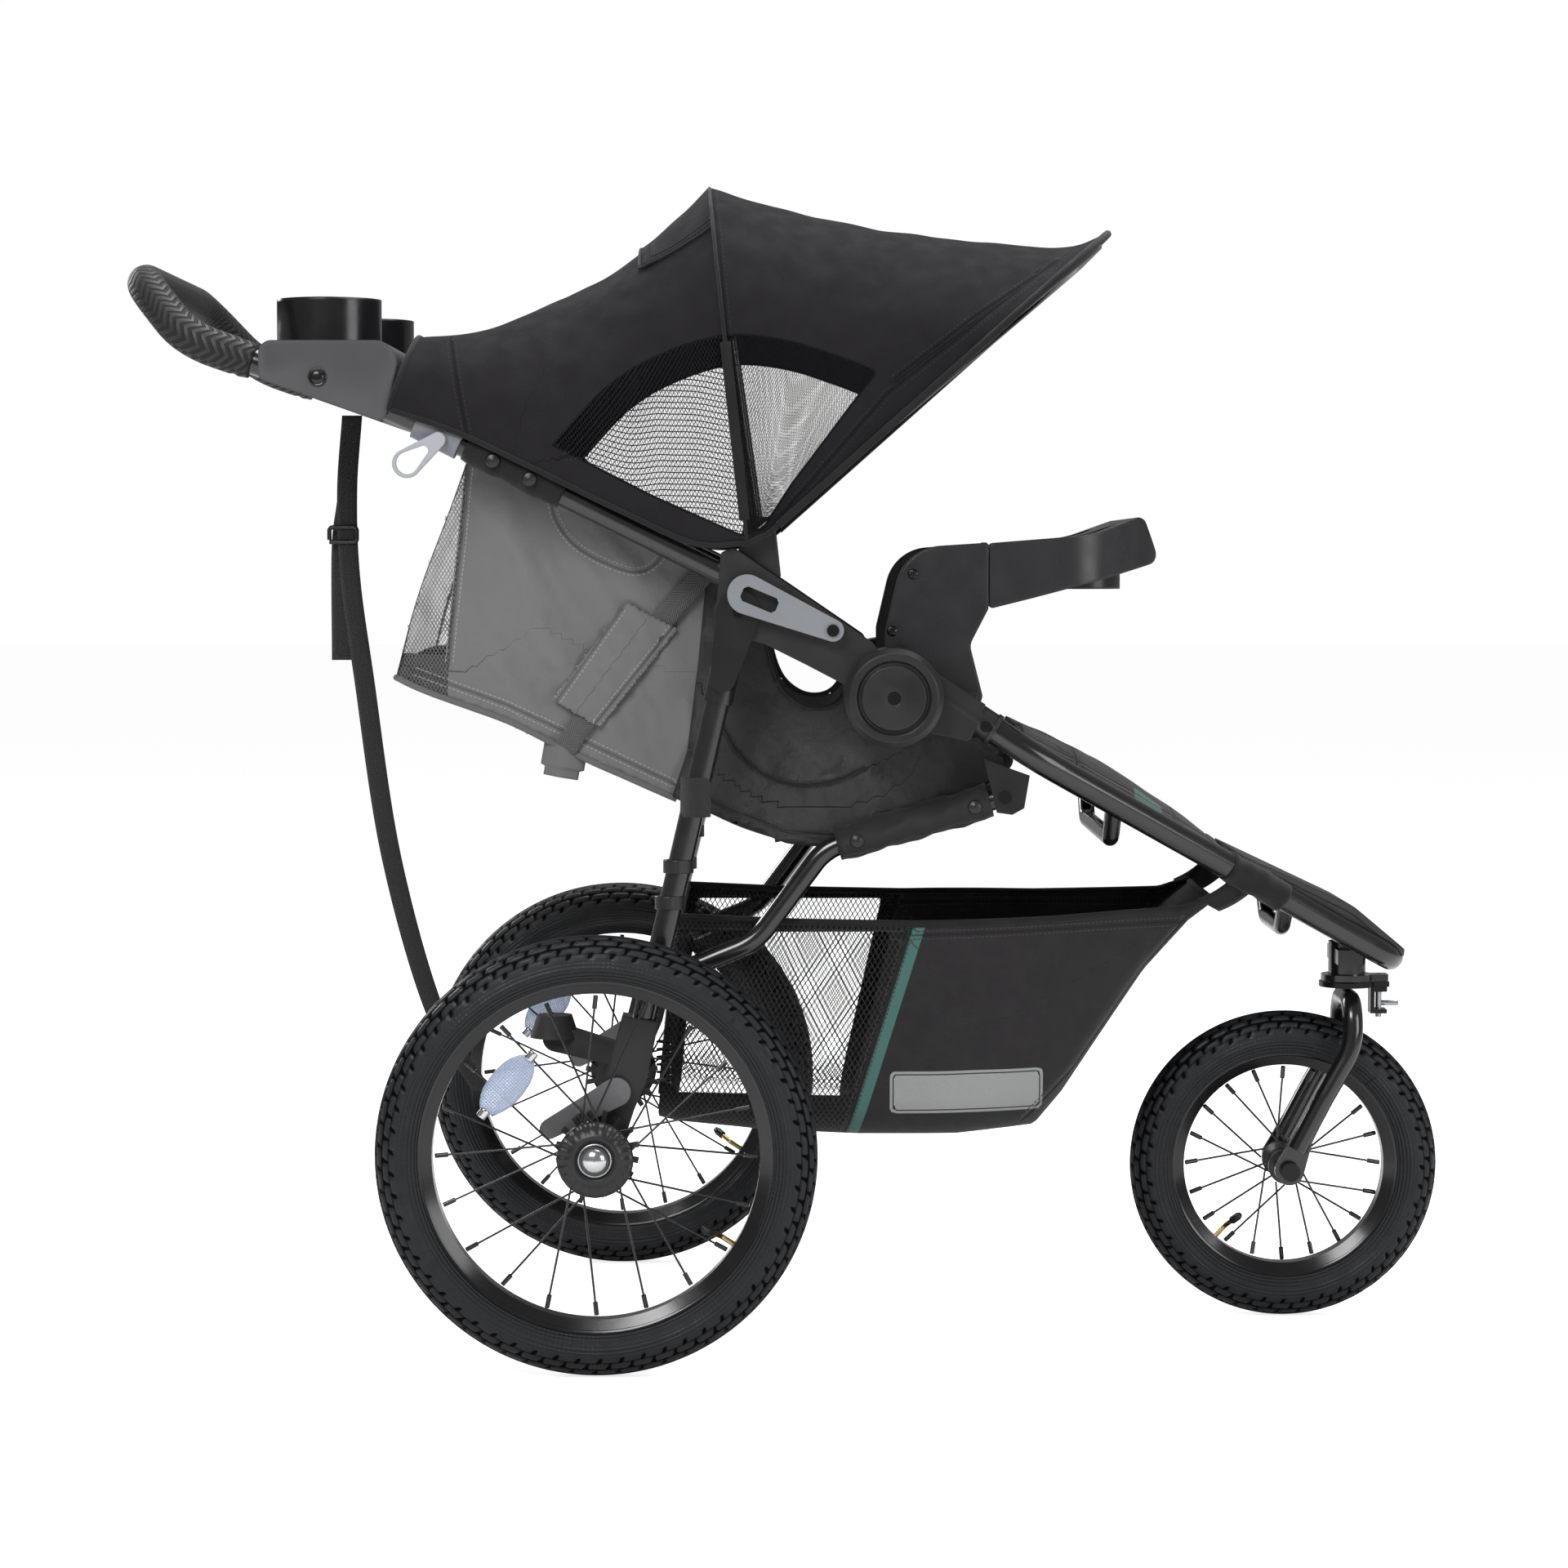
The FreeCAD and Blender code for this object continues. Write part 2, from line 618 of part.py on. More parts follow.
def make_steerer():
    """The swivel plate, its steering post, and the bracket of the lock pin."""
    up = Rotation()
    disc = primitive("Cylinder", "swivel_disc", Placement(at(STEER, 322), up), Radius="27", Height="5")
    tail = block("swivel_lug", at(STEER, 322, -10), at(LOCK + 9, 327, 10))
    post = primitive("Cylinder", "steering_post", Placement(at(STEER, 321), up), Radius="7", Height="48")
    front = block("lock_bracket_front", at(LOCK - 9, 296, -9), at(LOCK - 5, 322.5, 9))
    upper = block("lock_bracket_upper", at(LOCK - 9, 317, -9), at(LOCK + 7, 322.5, 9))
    lower = block("lock_bracket_lower", at(LOCK - 9, 296, -9), at(LOCK + 7, 300, 9))
    solid = fuse("steerer_solid", disc, tail, post, front, upper, lower)
    bore_place = Placement(at(LOCK, 290), up)
    bore = primitive(
        "Cylinder", "lock_bore", bore_place, Radius="Sizes.lock_pin_radius + Sizes.running", Height="50"
    )
    node(cut("steerer", solid, bore), "steerer")


def make_lock_pin():
    """The spring pin that holds the front wheel straight, with its side grip."""
    radius = cell("lock_pin_radius")
    place = Placement(at(LOCK, 292), Rotation())
    shank = primitive("Cylinder", "lock_shank", place, Radius=radius, Height="35")
    grip = rod("lock_grip", at(LOCK, 305.5), at(LOCK + 19, 305.5), "2.5")
    node(fuse("swivel_lock_pin", shank, grip), "swivel_lock_pin")


make_fork()
make_steerer()
make_lock_pin()

# ---------------------------------------------------------------------------
# Front frame
# ---------------------------------------------------------------------------
FRAME_TOP = (318.0, 608.0)
FRAME_BEND = (400.0, 554.0)
FRAME_NOSE = (755.0, 352.0)
FRAME_SIDE = 210.0
NOSE_SIDE = 36.0


def frame_side(ahead):
    """Distance from the middle of the front frame's side tube."""
    if ahead <= FRAME_BEND[0]:
        return FRAME_SIDE
    run = (ahead - FRAME_BEND[0]) / (FRAME_NOSE[0] - FRAME_BEND[0])
    return FRAME_SIDE + run * (NOSE_SIDE - FRAME_SIDE)


def frame_up(ahead):
    """Height of the front frame's side tube."""
    run = (ahead - FRAME_BEND[0]) / (FRAME_NOSE[0] - FRAME_BEND[0])
    return FRAME_BEND[1] + run * (FRAME_NOSE[1] - FRAME_BEND[1])


def make_brace(name, ahead, drop):
    """A welded cross brace that bows under the side tubes."""
    inner = frame_side(ahead) - 10
    top = frame_up(ahead) - 6
    path = [
        at(ahead, top, -inner),
        at(ahead, top - drop, -inner + drop),
    ]
    bends = [18, 18]
    return swept(name, both_sides(path), bends, cell("brace_radius"))


FRAME_PATH = both_sides([
    at(*FRAME_TOP, -FRAME_SIDE),
    at(*FRAME_BEND, -FRAME_SIDE),
    at(*FRAME_NOSE, -NOSE_SIDE),
])
FRAME_BENDS = [120, 34, 34, 120]


def make_front_frame():
    """The bent front tube with its two cross braces."""
    outside = swept("frame_outside", FRAME_PATH, FRAME_BENDS, FRAME)
    inside = swept("frame_inside", FRAME_PATH, FRAME_BENDS, "Sizes.frame_radius - Sizes.tube_wall")
    rear_brace = make_brace("rear_brace", 474.0, 30.0)
    front_brace = make_brace("front_brace", 645.0, 24.0)
    welded = fuse("frame_welded", outside, rear_brace, front_brace)
    node(cut("front_frame", welded, inside), "front_frame")


def make_steering_head():
    """The steering head with its flange, lock hole and side arms."""
    up = Rotation()
    foot = Placement(at(STEER, HEAD_BOTTOM), up)
    shell = primitive("Cylinder", "head_shell", foot, Radius="18", Height="38")
    flange = primitive("Cylinder", "head_flange", foot, Radius="25", Height="6")
    lug = block("head_lug", at(STEER, HEAD_BOTTOM, -9), at(LOCK + 8, HEAD_BOTTOM + 6, 9))
    arm = block("head_arm", at(STEER - 14, 346, -36), at(STEER + 10, 360, 36))
    solid = fuse("head_solid", shell, flange, lug, arm)
    bush_bore = primitive(
        "Cylinder", "bush_bore", Placement(at(STEER, HEAD_BOTTOM - 1), up), Radius="10.05", Height="60"
    )
    lock_hole = primitive(
        "Cylinder", "head_lock_hole", Placement(at(LOCK, HEAD_BOTTOM - 1), up),
        Radius="Sizes.lock_pin_radius + 0.1", Height="10",
    )
    node(cut("steering_head", solid, bush_bore, lock_hole), "steering_head")
    bushes = []
    for i, low in enumerate((HEAD_BOTTOM + 0.5, HEAD_BOTTOM + 24)):
        place = Placement(at(STEER, low), up)
        sleeve = primitive("Cylinder", f"bush_{i}", place, Radius="10", Height="13")
        hole = primitive("Cylinder", f"bush_hole_{i}", place, Radius="7.05", Height="13")
        bushes.append(cut(f"bush_ring_{i}", sleeve, hole))
    group("steering_bushes", *bushes)


def make_sockets():
    """The lower hinge sockets that hold the front frame tube."""
    hinge_ahead, hinge_up = HINGE
    outline = [(262, 582), (284, 648, 6), (352, 604), (338, 570, 6), (300, 578)]
    web = plate("socket_web", outline, "27.5", -210.25)
    run = (at(*FRAME_BEND, -FRAME_SIDE) - at(*FRAME_TOP, -FRAME_SIDE)).normalize()
    mouth = at(*FRAME_TOP, -FRAME_SIDE) + run * 52
    sleeve = rod("socket_sleeve_round", mouth - run * 90, mouth, "Sizes.frame_radius + 1.8")
    lip = rod("socket_sleeve_lip", mouth - run * 4.5, mouth, "Sizes.frame_radius + 3")
    disc = pin("socket_disc", hinge_ahead, hinge_up, -224.5, -196, cell("hub_radius"))
    solid = fuse("socket_solid", web, sleeve, lip, disc)
    tube_bore = swept(
        "socket_tube_bore",
        [at(*FRAME_TOP, -FRAME_SIDE), at(*FRAME_BEND, -FRAME_SIDE)],
        [],
        "Sizes.frame_radius + Sizes.gap",
    )
    bolt_bore = pin(
        "socket_bolt_bore", hinge_ahead, hinge_up, -260, -190, "Sizes.hinge_pin_radius + Sizes.running"
    )
    pair("hinge_sockets", cut("socket", solid, tube_bore, bolt_bore))


def make_hinge_covers():
    """The round covers outside the folding hinges."""
    hub = size("hub_radius")
    cover = turned("hinge_cover", [
        (6.05, 0), (hub, 0), (hub, 12), (hub - 5, 18), (hub - 11, 18), (hub - 13, 15), (hub - 15, 15),
        (hub - 16, 19), (6.05, 21),
    ])
    cover.Placement = Placement(at(*HINGE, -242.0), Rotation(Vector(0, 0, 1), 180))
    pair("hinge_covers", cover)


def make_link_brackets():
    """The ears under the front tube that carry the seat frame."""
    ahead, up = LINK_PIVOT
    bore = "Sizes.small_pin_radius + Sizes.running"
    outline = [(352, 553), (394, 538), (389, 508), (378, 502), (364, 504)]
    ear = plate("link_ear", outline, "4", -198.5, holes=[(ahead, up, bore)])
    pair("link_brackets", ear)


def make_frame_fasteners():
    """Hinge bolts, socket rivets, link pins and the child tray's hinge pin."""
    hinge_bolt = pin("hinge_bolt", *HINGE, -262, -197, cell("hinge_pin_radius"))
    rivet = pin("socket_rivet", 352, 584, -227, -224.7, "5")
    link_pin = pin("link_pin", *LINK_PIVOT, -203, -176, cell("small_pin_radius"))
    link_head = pin("link_pin_head", *LINK_PIVOT, -204, -200.8, "6")
    right = [hinge_bolt, rivet, fuse("link_pin_solid", link_pin, link_head)]
    left = [mirrored(thing) for thing in right]
    hinge_place = Placement(at(size("tray_hinge_ahead"), 687, size("tray_hinge_side")), Rotation())
    tray_pin = primitive("Cylinder", "tray_pin", hinge_place, Radius="3", Height="66")
    group("frame_fasteners", *right, *left, tray_pin)


def sheet_between_tubes(name, start, end, low, high, margin):
    """A sheet that follows the front frame between its side tubes."""
    side_view = plate(f"{name}_side", [
        (start, frame_up(start) + low), (end, frame_up(end) + low),
        (end, frame_up(end) + high), (start, frame_up(start) + high),
    ], "500", 0.0)
    edge = [(ahead, frame_side(ahead) - margin) for ahead in (start, end)]
    plan = plan_prism(f"{name}_plan", both_edges(edge))
    return common(name, side_view, plan)


def make_footrest():
    """The moulded footrest over the front frame's nose."""
    side_view = plate("footrest_side", [
        (600, 458), (712, 406, 60), (768, 360), (766, 354), (710, 399, 60), (600, 453.5),
    ], "300", 0.0)
    plan = plan_prism("footrest_plan", [(600, -112), (768, -36, 22), (768, 36, 22), (600, 112)])
    saddle = swept("footrest_saddle", FRAME_PATH, FRAME_BENDS, "Sizes.frame_radius + Sizes.gap")
    node(cut("footrest", common("footrest_blank", side_view, plan), saddle), "footrest")


make_front_frame()
make_steering_head()
make_sockets()
make_hinge_covers()
make_link_brackets()
make_frame_fasteners()
make_footrest()
node(sheet_between_tubes("calf_panel", 402.0, 592.0, 2.0, 8.0, 17.0), "calf_panel")

# ---------------------------------------------------------------------------
# Child tray and its arms
# ---------------------------------------------------------------------------
TRAY_IN = 159.0
TRAY_OUT = 175.0
TRAY_JOINT = 357.0
LUG_RADIUS = 8.0
BOSS_END = 195.7


def make_tray_arms():
    """The fixed arms that rise from the hinge sockets; the left one carries the
    lugs of the tray hinge."""
    thickness = TRAY_OUT - TRAY_IN
    middle = (TRAY_IN + TRAY_OUT) / 2
    outline = [
        (262, 668), (280, 746, 44), (TRAY_JOINT, 751, 3), (TRAY_JOINT, 690, 3), (340, 657, 14),
        (352, 610, 6), (346, 590, 5), (322, 586), (290, 592, 12), (262, 620, 12),
    ]
    arms = []
    for sign, label in ((-1, "right"), (1, "left")):
        arm = plate(f"tray_arm_{label}", outline, str(thickness), sign * middle)
        low = min(sign * TRAY_IN, sign * BOSS_END)
        boss = block(f"tray_boss_{label}", at(325, 590, low), at(347, 611, low + BOSS_END - TRAY_IN))
        arms.append([arm, boss])
    hinge_side = size("tray_hinge_side")
    hinge_ahead = size("tray_hinge_ahead")
    for low, high in ((688.5, 694.5), (745.0, 751.0)):
        place = Placement(at(hinge_ahead, low, hinge_side), Rotation())
        lug = primitive("Cylinder", f"tray_lug_{int(low)}", place, Radius=str(LUG_RADIUS), Height=high - low)
        web = block(
            f"tray_web_{int(low)}",
            at(TRAY_JOINT - LUG_RADIUS, low, hinge_side - LUG_RADIUS),
            at(hinge_ahead, high, hinge_side + LUG_RADIUS),
        )
        arms[1].extend([lug, web])
    right = fuse("tray_arm_right_solid", *arms[0])
    left = fuse("tray_arm_left_solid", *arms[1])
    pin_bore_place = Placement(at(hinge_ahead, 680, hinge_side), Rotation())
    pin_bore = primitive("Cylinder", "tray_lug_bore", pin_bore_place, Radius="3.05", Height="80")
    group("tray_arms", right, cut("tray_arm_left_bored", left, pin_bore))


def make_tray():
    """The child tray: a swinging D-shaped ring with two cup holders."""
    side_view = plate("tray_side", [
        (358, 690, 3), (358, 750.5, 3), (452, 758, 90), (503, 777, 9), (521, 734, 10), (470, 719, 40),
        (398, 700, 60),
    ], "600", 0.0)
    plan = plan_prism("tray_plan", both_edges([(358, TRAY_OUT), (446, TRAY_OUT, 60), (521, 118, 62)]))
    shell = common("tray_blank", side_view, plan)
    cups = []
    bores = []
    radius = cell("tray_cup_radius")
    bottom = 756.0 - size("tray_cup_depth")
    for i, side in enumerate((-size("tray_cup_side"), size("tray_cup_side"))):
        place = Placement(at(size("tray_cup_ahead"), bottom - 4, side), Rotation())
        cups.append(primitive("Cylinder", f"tray_cup_{i}", place, Radius=f"{radius} + 3", Height="44"))
        bore_place = Placement(at(size("tray_cup_ahead"), bottom, side), Rotation())
        bores.append(primitive("Cylinder", f"tray_cup_bore_{i}", bore_place, Radius=radius, Height="90"))
    belly = primitive(
        "Cylinder", "tray_belly", Placement(at(330, 660), Rotation()), Radius="76", Height="140"
    )
    belly_box = block("tray_belly_box", at(340, 660, -TRAY_IN), at(398, 800, TRAY_IN))
    hollow_plan = plan_prism("tray_hollow_plan", both_edges([(398, 166), (440, 166, 50), (512, 112, 54)]))
    under_box = block("tray_under_box", at(398, 690, -170), at(512, 738, 170))
    underside = common("tray_underside", hollow_plan, under_box)
    hollow = cut("tray_hollow", underside, *[
        primitive("Cylinder", f"tray_keep_{i}", Placement(at(size("tray_cup_ahead"), 680, side), Rotation()),
                  Radius=f"{radius} + 3", Height="90")
        for i, side in enumerate((-size("tray_cup_side"), size("tray_cup_side")))
    ])
    hinge_ahead = size("tray_hinge_ahead")
    hinge_side = size("tray_hinge_side")
    hinge_gap = block("tray_hinge_gap", at(340, 680, TRAY_IN - 5), at(hinge_ahead, 800, 210))
    body = cut("tray_body", shell, belly, belly_box, hollow, hinge_gap)
    knuckle_place = Placement(at(hinge_ahead, 695, hinge_side), Rotation())
    knuckle = primitive("Cylinder", "tray_knuckle", knuckle_place, Radius="8", Height="49.5")
    solid = fuse("tray_solid", body, knuckle, *cups)
    lug_space = [
        primitive("Cylinder", f"tray_lug_space_{i}", Placement(at(hinge_ahead, low, hinge_side), Rotation()),
                  Radius="12", Height=height)
        for i, (low, height) in enumerate(((680, 15), (744.5, 12)))
    ]
    pin_bore = primitive(
        "Cylinder", "tray_pin_bore", Placement(at(hinge_ahead, 680, hinge_side), Rotation()),
        Radius="3.05", Height="90",
    )
    node(cut("tray", solid, *lug_space, pin_bore, *bores), "tray")


make_tray_arms()
make_tray()

# ---------------------------------------------------------------------------
# Basket
# ---------------------------------------------------------------------------
def make_basket():
    """An open cloth basket slung under the seat."""
    half = size("basket_half")
    skin = size("sheet")
    outer_side = plate("basket_outer_side", [
        (70, 404), (48, 225), (62, 212), (230, 199), (395, 203), (416, 212), (458, 268), (508, 342),
        (578, 418), (540, 407), (289, 399),
    ], "700", 0.0)
    outer_plan = plan_prism(
        "basket_outer_plan", both_edges([(40, half), (300, half), (480, 150), (585, 108)])
    )
    inner_side = plate("basket_inner_side", [
        (70 + skin, 460), (48 + skin, 227), (63, 212 + skin), (230, 199 + skin), (394, 203 + skin),
        (414, 215), (455, 270), (505, 345), (574, 420), (574, 460),
    ], "700", 0.0)
    inner_plan = plan_prism("basket_inner_plan", both_edges([
        (45, half - skin), (300, half - skin), (480, 150 - skin), (583, 108 - skin),
    ]))
    outer = common("basket_outer", outer_side, outer_plan)
    inner = common("basket_inner", inner_side, inner_plan)
    node(cut("basket", outer, inner), "basket")


make_basket()

# ---------------------------------------------------------------------------
# Handle
# ---------------------------------------------------------------------------
HANDLE_FOOT = (165.0, 697.9)
HANDLE_BEND = (-178.0, 868.3)
HANDLE_RISE = (-370.0, 934.3)
HANDLE_TOP = (-419.0, 990.0)
HANDLE_CORNER = 175.0
HANDLE_SLOPE = (HANDLE_RISE[1] - HANDLE_BEND[1]) / (HANDLE_RISE[0] - HANDLE_BEND[0])


def handle_up(ahead):
    """Height of the handle tube's straight part behind its bend."""
    return HANDLE_BEND[1] + HANDLE_SLOPE * (ahead - HANDLE_BEND[0])


def make_handle():
    """The one-piece handle tube and the rubber grip around its top."""
    right = [
        at(*HANDLE_FOOT, -TUBE_PLANE),
        at(*HANDLE_BEND, -TUBE_PLANE),
        at(*HANDLE_RISE, -TUBE_PLANE),
        at(*HANDLE_TOP, -HANDLE_CORNER),
    ]
    bends = [250, 70, 70, 70, 70, 250]
    node(tube("handle_tube", both_sides(right), bends, HANDLE), "handle_tube")
    grip_start = at(-310, handle_up(-310), -TUBE_PLANE)
    grip_path = both_sides([grip_start] + right[2:])
    outside = swept("grip_outside", grip_path, bends[1:5], cell("grip_radius"))
    inside = swept("grip_inside", grip_path, bends[1:5], "Sizes.handle_radius + Sizes.running")
    node(cut("handle_grip", outside, inside), "handle_grip")


def make_hinge_arms():
    """The upper hinge arms: each holds a handle tube and carries the leg pivot."""
    outline = [
        (112, 742, 5), (124, 746, 5), (250, 660, 8), (262, 640), (232, 618), (190, 640), (150, 660, 40),
        (106, 668, 6),
    ]
    blank = plate("arm_blank", outline, "24", -225.0)
    lobe = pin("arm_lobe", *LEG_PIVOT, -241, -209, "22")
    clear = pin("arm_clear", *HINGE, -260, -190, "88")
    outer = plate("arm_neck", outline, "16", -233.0)
    disc = pin("arm_disc", *HINGE, -241, -225, cell("hub_radius"))
    slope = (at(*HANDLE_FOOT, -TUBE_PLANE) - at(*HANDLE_BEND, -TUBE_PLANE)).normalize()
    bore_end = at(*HANDLE_FOOT, -TUBE_PLANE) + slope * 0.5
    sleeve = rod("arm_sleeve", bore_end - slope * 52, bore_end + slope * 6, "Sizes.handle_radius + 3.9")
    solid = fuse("arm_solid", cut("arm_trimmed", fuse("arm_body", blank, lobe, sleeve), clear), outer, disc)
    tube_bore = rod("arm_tube_bore", bore_end - slope * 120, bore_end, "Sizes.handle_radius + 0.1")
    bores = [
        pin("arm_hinge_bore", *HINGE, -260, -190, "Sizes.hinge_pin_radius + Sizes.running"),
        pin("arm_leg_bore", *LEG_PIVOT, -260, -190, "Sizes.leg_pin_radius + Sizes.running"),
        pin("arm_lever_bore", *LEVER_PIVOT, -260, -225, "Sizes.small_pin_radius + Sizes.running"),
    ]
    pair("hinge_arms", cut("hinge_arm", solid, tube_bore, *bores))


def make_arm_rivets():
    """Leg pins, lever rivets and the small rivets of the hinge arms."""
    leg_pin = pin("leg_pin", *LEG_PIVOT, -247.3, -203.5, cell("leg_pin_radius"))
    lever_pin = pin("lever_pin", *LEVER_PIVOT, -255, -228, cell("small_pin_radius"))
    lever_head = pin("lever_pin_head", *LEVER_PIVOT, -256, -254.3, "5.5")
    arm_rivet = pin("arm_rivet", 138, 711.3, -242.5, -241.1, "4")
    canopy_pin = pin("canopy_pin", *CANOPY_PIVOT, -244, -218, "2.5")
    right = [leg_pin, fuse("lever_pin_solid", lever_pin, lever_head), arm_rivet, canopy_pin]
    group("arm_rivets", *right, *[mirrored(thing) for thing in right])


def make_canopy_clamps():
    """The blocks on the hinge arms that carry the canopy bows."""
    ahead, up = CANOPY_PIVOT
    outline = [(128, 743.8), (134, 774, 9), (160, 774, 9), (166, 718.5)]
    block_body = plate("canopy_clamp", outline, "9", -222.0, holes=[(ahead, up, "2.55")])
    pair("canopy_clamps", block_body)


def make_fold_levers():
    """The grey fold release levers, one on each hinge arm."""
    for sign, label in ((-1, "right"), (1, "left")):
        lever = tapered_plate(
            f"{label}_fold_lever", (*LEVER_END, 18), (*LEVER_PIVOT, 10), "6", sign * 251.0,
            holes=[(*LEVER_PIVOT, "Sizes.small_pin_radius + Sizes.running")],
        )
        slot = new_sketch(lever, "XZ_Plane", f"{label}_lever_slot")
        run = math.hypot(LEVER_PIVOT[0] - LEVER_END[0], LEVER_PIVOT[1] - LEVER_END[1])
        step = ((LEVER_PIVOT[0] - LEVER_END[0]) / run, (LEVER_PIVOT[1] - LEVER_END[1]) / run)
        centre = (LEVER_END[0] + step[0] * 12, LEVER_END[1] + step[1] * 12)
        corners = []
        for along, across in ((-17, -4), (-14, -7), (14, -7), (17, -4), (17, 4), (14, 7), (-14, 7), (-17, 4)):
            corners.append((
                centre[0] + step[0] * along - step[1] * across,
                centre[1] + step[1] * along + step[0] * across,
            ))
        draw_polygon(slot, corners)
        pocket = lever.newObject("PartDesign::Pocket", f"{label}_lever_slot_cut")
        pocket.Profile = slot
        pocket.SideType = "Symmetric"
        pocket.Length = 30
        node(lever, f"{label}_fold_lever")


def make_console():
    """The parent console with two cup holders and a lidded compartment."""
    outline = [
        (-303, 932, 12), (-303, handle_up(-303) - 14, 6), (-190, handle_up(-190) - 15, 8), (-174, 932, 20),
    ]
    base = plate("console_base", outline, "486", 0.0)
    up = Rotation()
    bottom = size("cup_top") - size("cup_depth")
    outer = []
    bores = []
    for i, side in enumerate((-size("cup_side"), size("cup_side"))):
        wall_place = Placement(at(size("cup_ahead"), 900, side), up)
        wall_height = str(size("cup_top") - 900)
        wall_radius = "Sizes.cup_radius + Sizes.cup_wall"
        outer.append(primitive("Cylinder", f"cup_{i}", wall_place, Radius=wall_radius, Height=wall_height))
        bore_place = Placement(at(size("cup_ahead"), bottom, side), up)
        bores.append(
            primitive(
                "Cylinder", f"cup_bore_{i}", bore_place,
                Radius=cell("cup_radius"), Height="Sizes.cup_depth + 5",
            )
        )
    solid = fuse("console_solid", base, *outer)
    compartment = block("console_compartment", at(-288, 900, -82), at(-206, 960, 82))
    lid_seat = block("console_lid_seat", at(-292, 928, -86), at(-202, 960, 86))
    barrel_space = pin("console_barrel_space", -199, 931, -86, 86, "5")
    channels = []
    slope = (at(-303, handle_up(-303)) - at(-172, handle_up(-172))).normalize()
    for i, side in enumerate((-TUBE_PLANE, TUBE_PLANE)):
        front = at(-172, handle_up(-172), side) - slope * 30
        channels.append(rod(f"console_channel_{i}", front, front + slope * 200, "Sizes.handle_radius + 0.4"))
    bend_space = [
        block(f"console_bend_space_{i}", at(-196, 858, side - 13), at(-165, 888, side + 13))
        for i, side in enumerate((-TUBE_PLANE, TUBE_PLANE))
    ]
    lid_bore = pin("console_lid_bore", -199, 931, -95, 95, "1.55")
    node(
        cut("console", solid, compartment, lid_seat, barrel_space, lid_bore, *bores, *channels, *bend_space),
        "parent_console",
    )
    lid_plate = block("lid_plate", at(-291.5, 929, -85), at(-199, 933, 85))
    barrel = pin("lid_barrel", -199, 931, -85, 85, "3.5")
    lid_pin = pin("lid_pin", -199, 931, -94, 94, "1.5")
    node(fuse("console_lid", lid_plate, barrel, lid_pin), "console_lid")


def make_storage_latch():
    """The fold storage latch on the right handle tube: a clamp and its hook."""
    run = (at(*HANDLE_FOOT, -TUBE_PLANE) - at(*HANDLE_BEND, -TUBE_PLANE)).normalize()
    plane = -245.2
    ahead = -142.0
    up = HANDLE_BEND[1] + run.z / run.x * (ahead - HANDLE_BEND[0])
    middle = at(ahead, up, -TUBE_PLANE)
    sleeve = rod("latch_sleeve", middle - run * 22, middle + run * 22, "16")
    up -= 8
    boss = pin("latch_boss", ahead, up, -243, -238, "8")
    bore = rod("latch_bore", middle - run * 40, middle + run * 40, "Sizes.handle_radius + 0.3")
    pin_bore = pin("latch_pin_bore", ahead, up, -250, -236, "2.55")
    node(cut("latch_clamp", fuse("latch_solid", sleeve, boss), bore, pin_bore), "latch_clamp")
    hook = tapered_plate("latch_hook_blank", (ahead - 28, up - 21, 13), (ahead, up, 7), "4", plane)
    eye = tapered_plate(
        "latch_hook_eye", (ahead - 27.5, up - 20.5, 10), (ahead - 13, up - 9.5, 4.5), "8", plane
    )
    shaft = pin("latch_hook_shaft", ahead, up, plane, -236.5, "2.5")
    node(fuse("latch_hook", cut("latch_hook_loop", hook, eye), shaft), "latch_hook")


def ribbon(name, points, width, thickness, side):
    """A flat strap seen from the side: a band of even width along the points."""
    left = []
    right = []
    for i, (ahead, up) in enumerate(points):
        before = points[max(i - 1, 0)]
        after = points[min(i + 1, len(points) - 1)]
        run = Vector(after[0] - before[0], after[1] - before[1], 0).normalize()
        left.append((ahead - run.y * width / 2, up + run.x * width / 2))
        right.append((ahead + run.y * width / 2, up - run.x * width / 2))
    return plate(name, left + right[::-1], str(thickness), side)


def make_wrist_strap():
    """The tether strap with its slider and sewn tail."""
    long_run = [(-240, 871), (-245, 800), (-243, 720), (-231, 625), (-206, 455), (-165, 305), (-120, 228)]
    tail = [(-250, 760), (-252, 625)]
    plane = -60.0
    strap = ribbon("strap_run", long_run, 19.0, 1.6, plane)
    tail_strap = ribbon("strap_tail", tail, 19.0, 1.6, plane + 2.2)
    slider = block("strap_slider", at(-262, 752, plane - 4.0), at(-236, 766, plane - 1.0))
    group("wrist_strap", strap, tail_strap, slider)


make_handle()
make_hinge_arms()
make_arm_rivets()
make_canopy_clamps()
make_fold_levers()
make_console()
make_storage_latch()
make_wrist_strap()

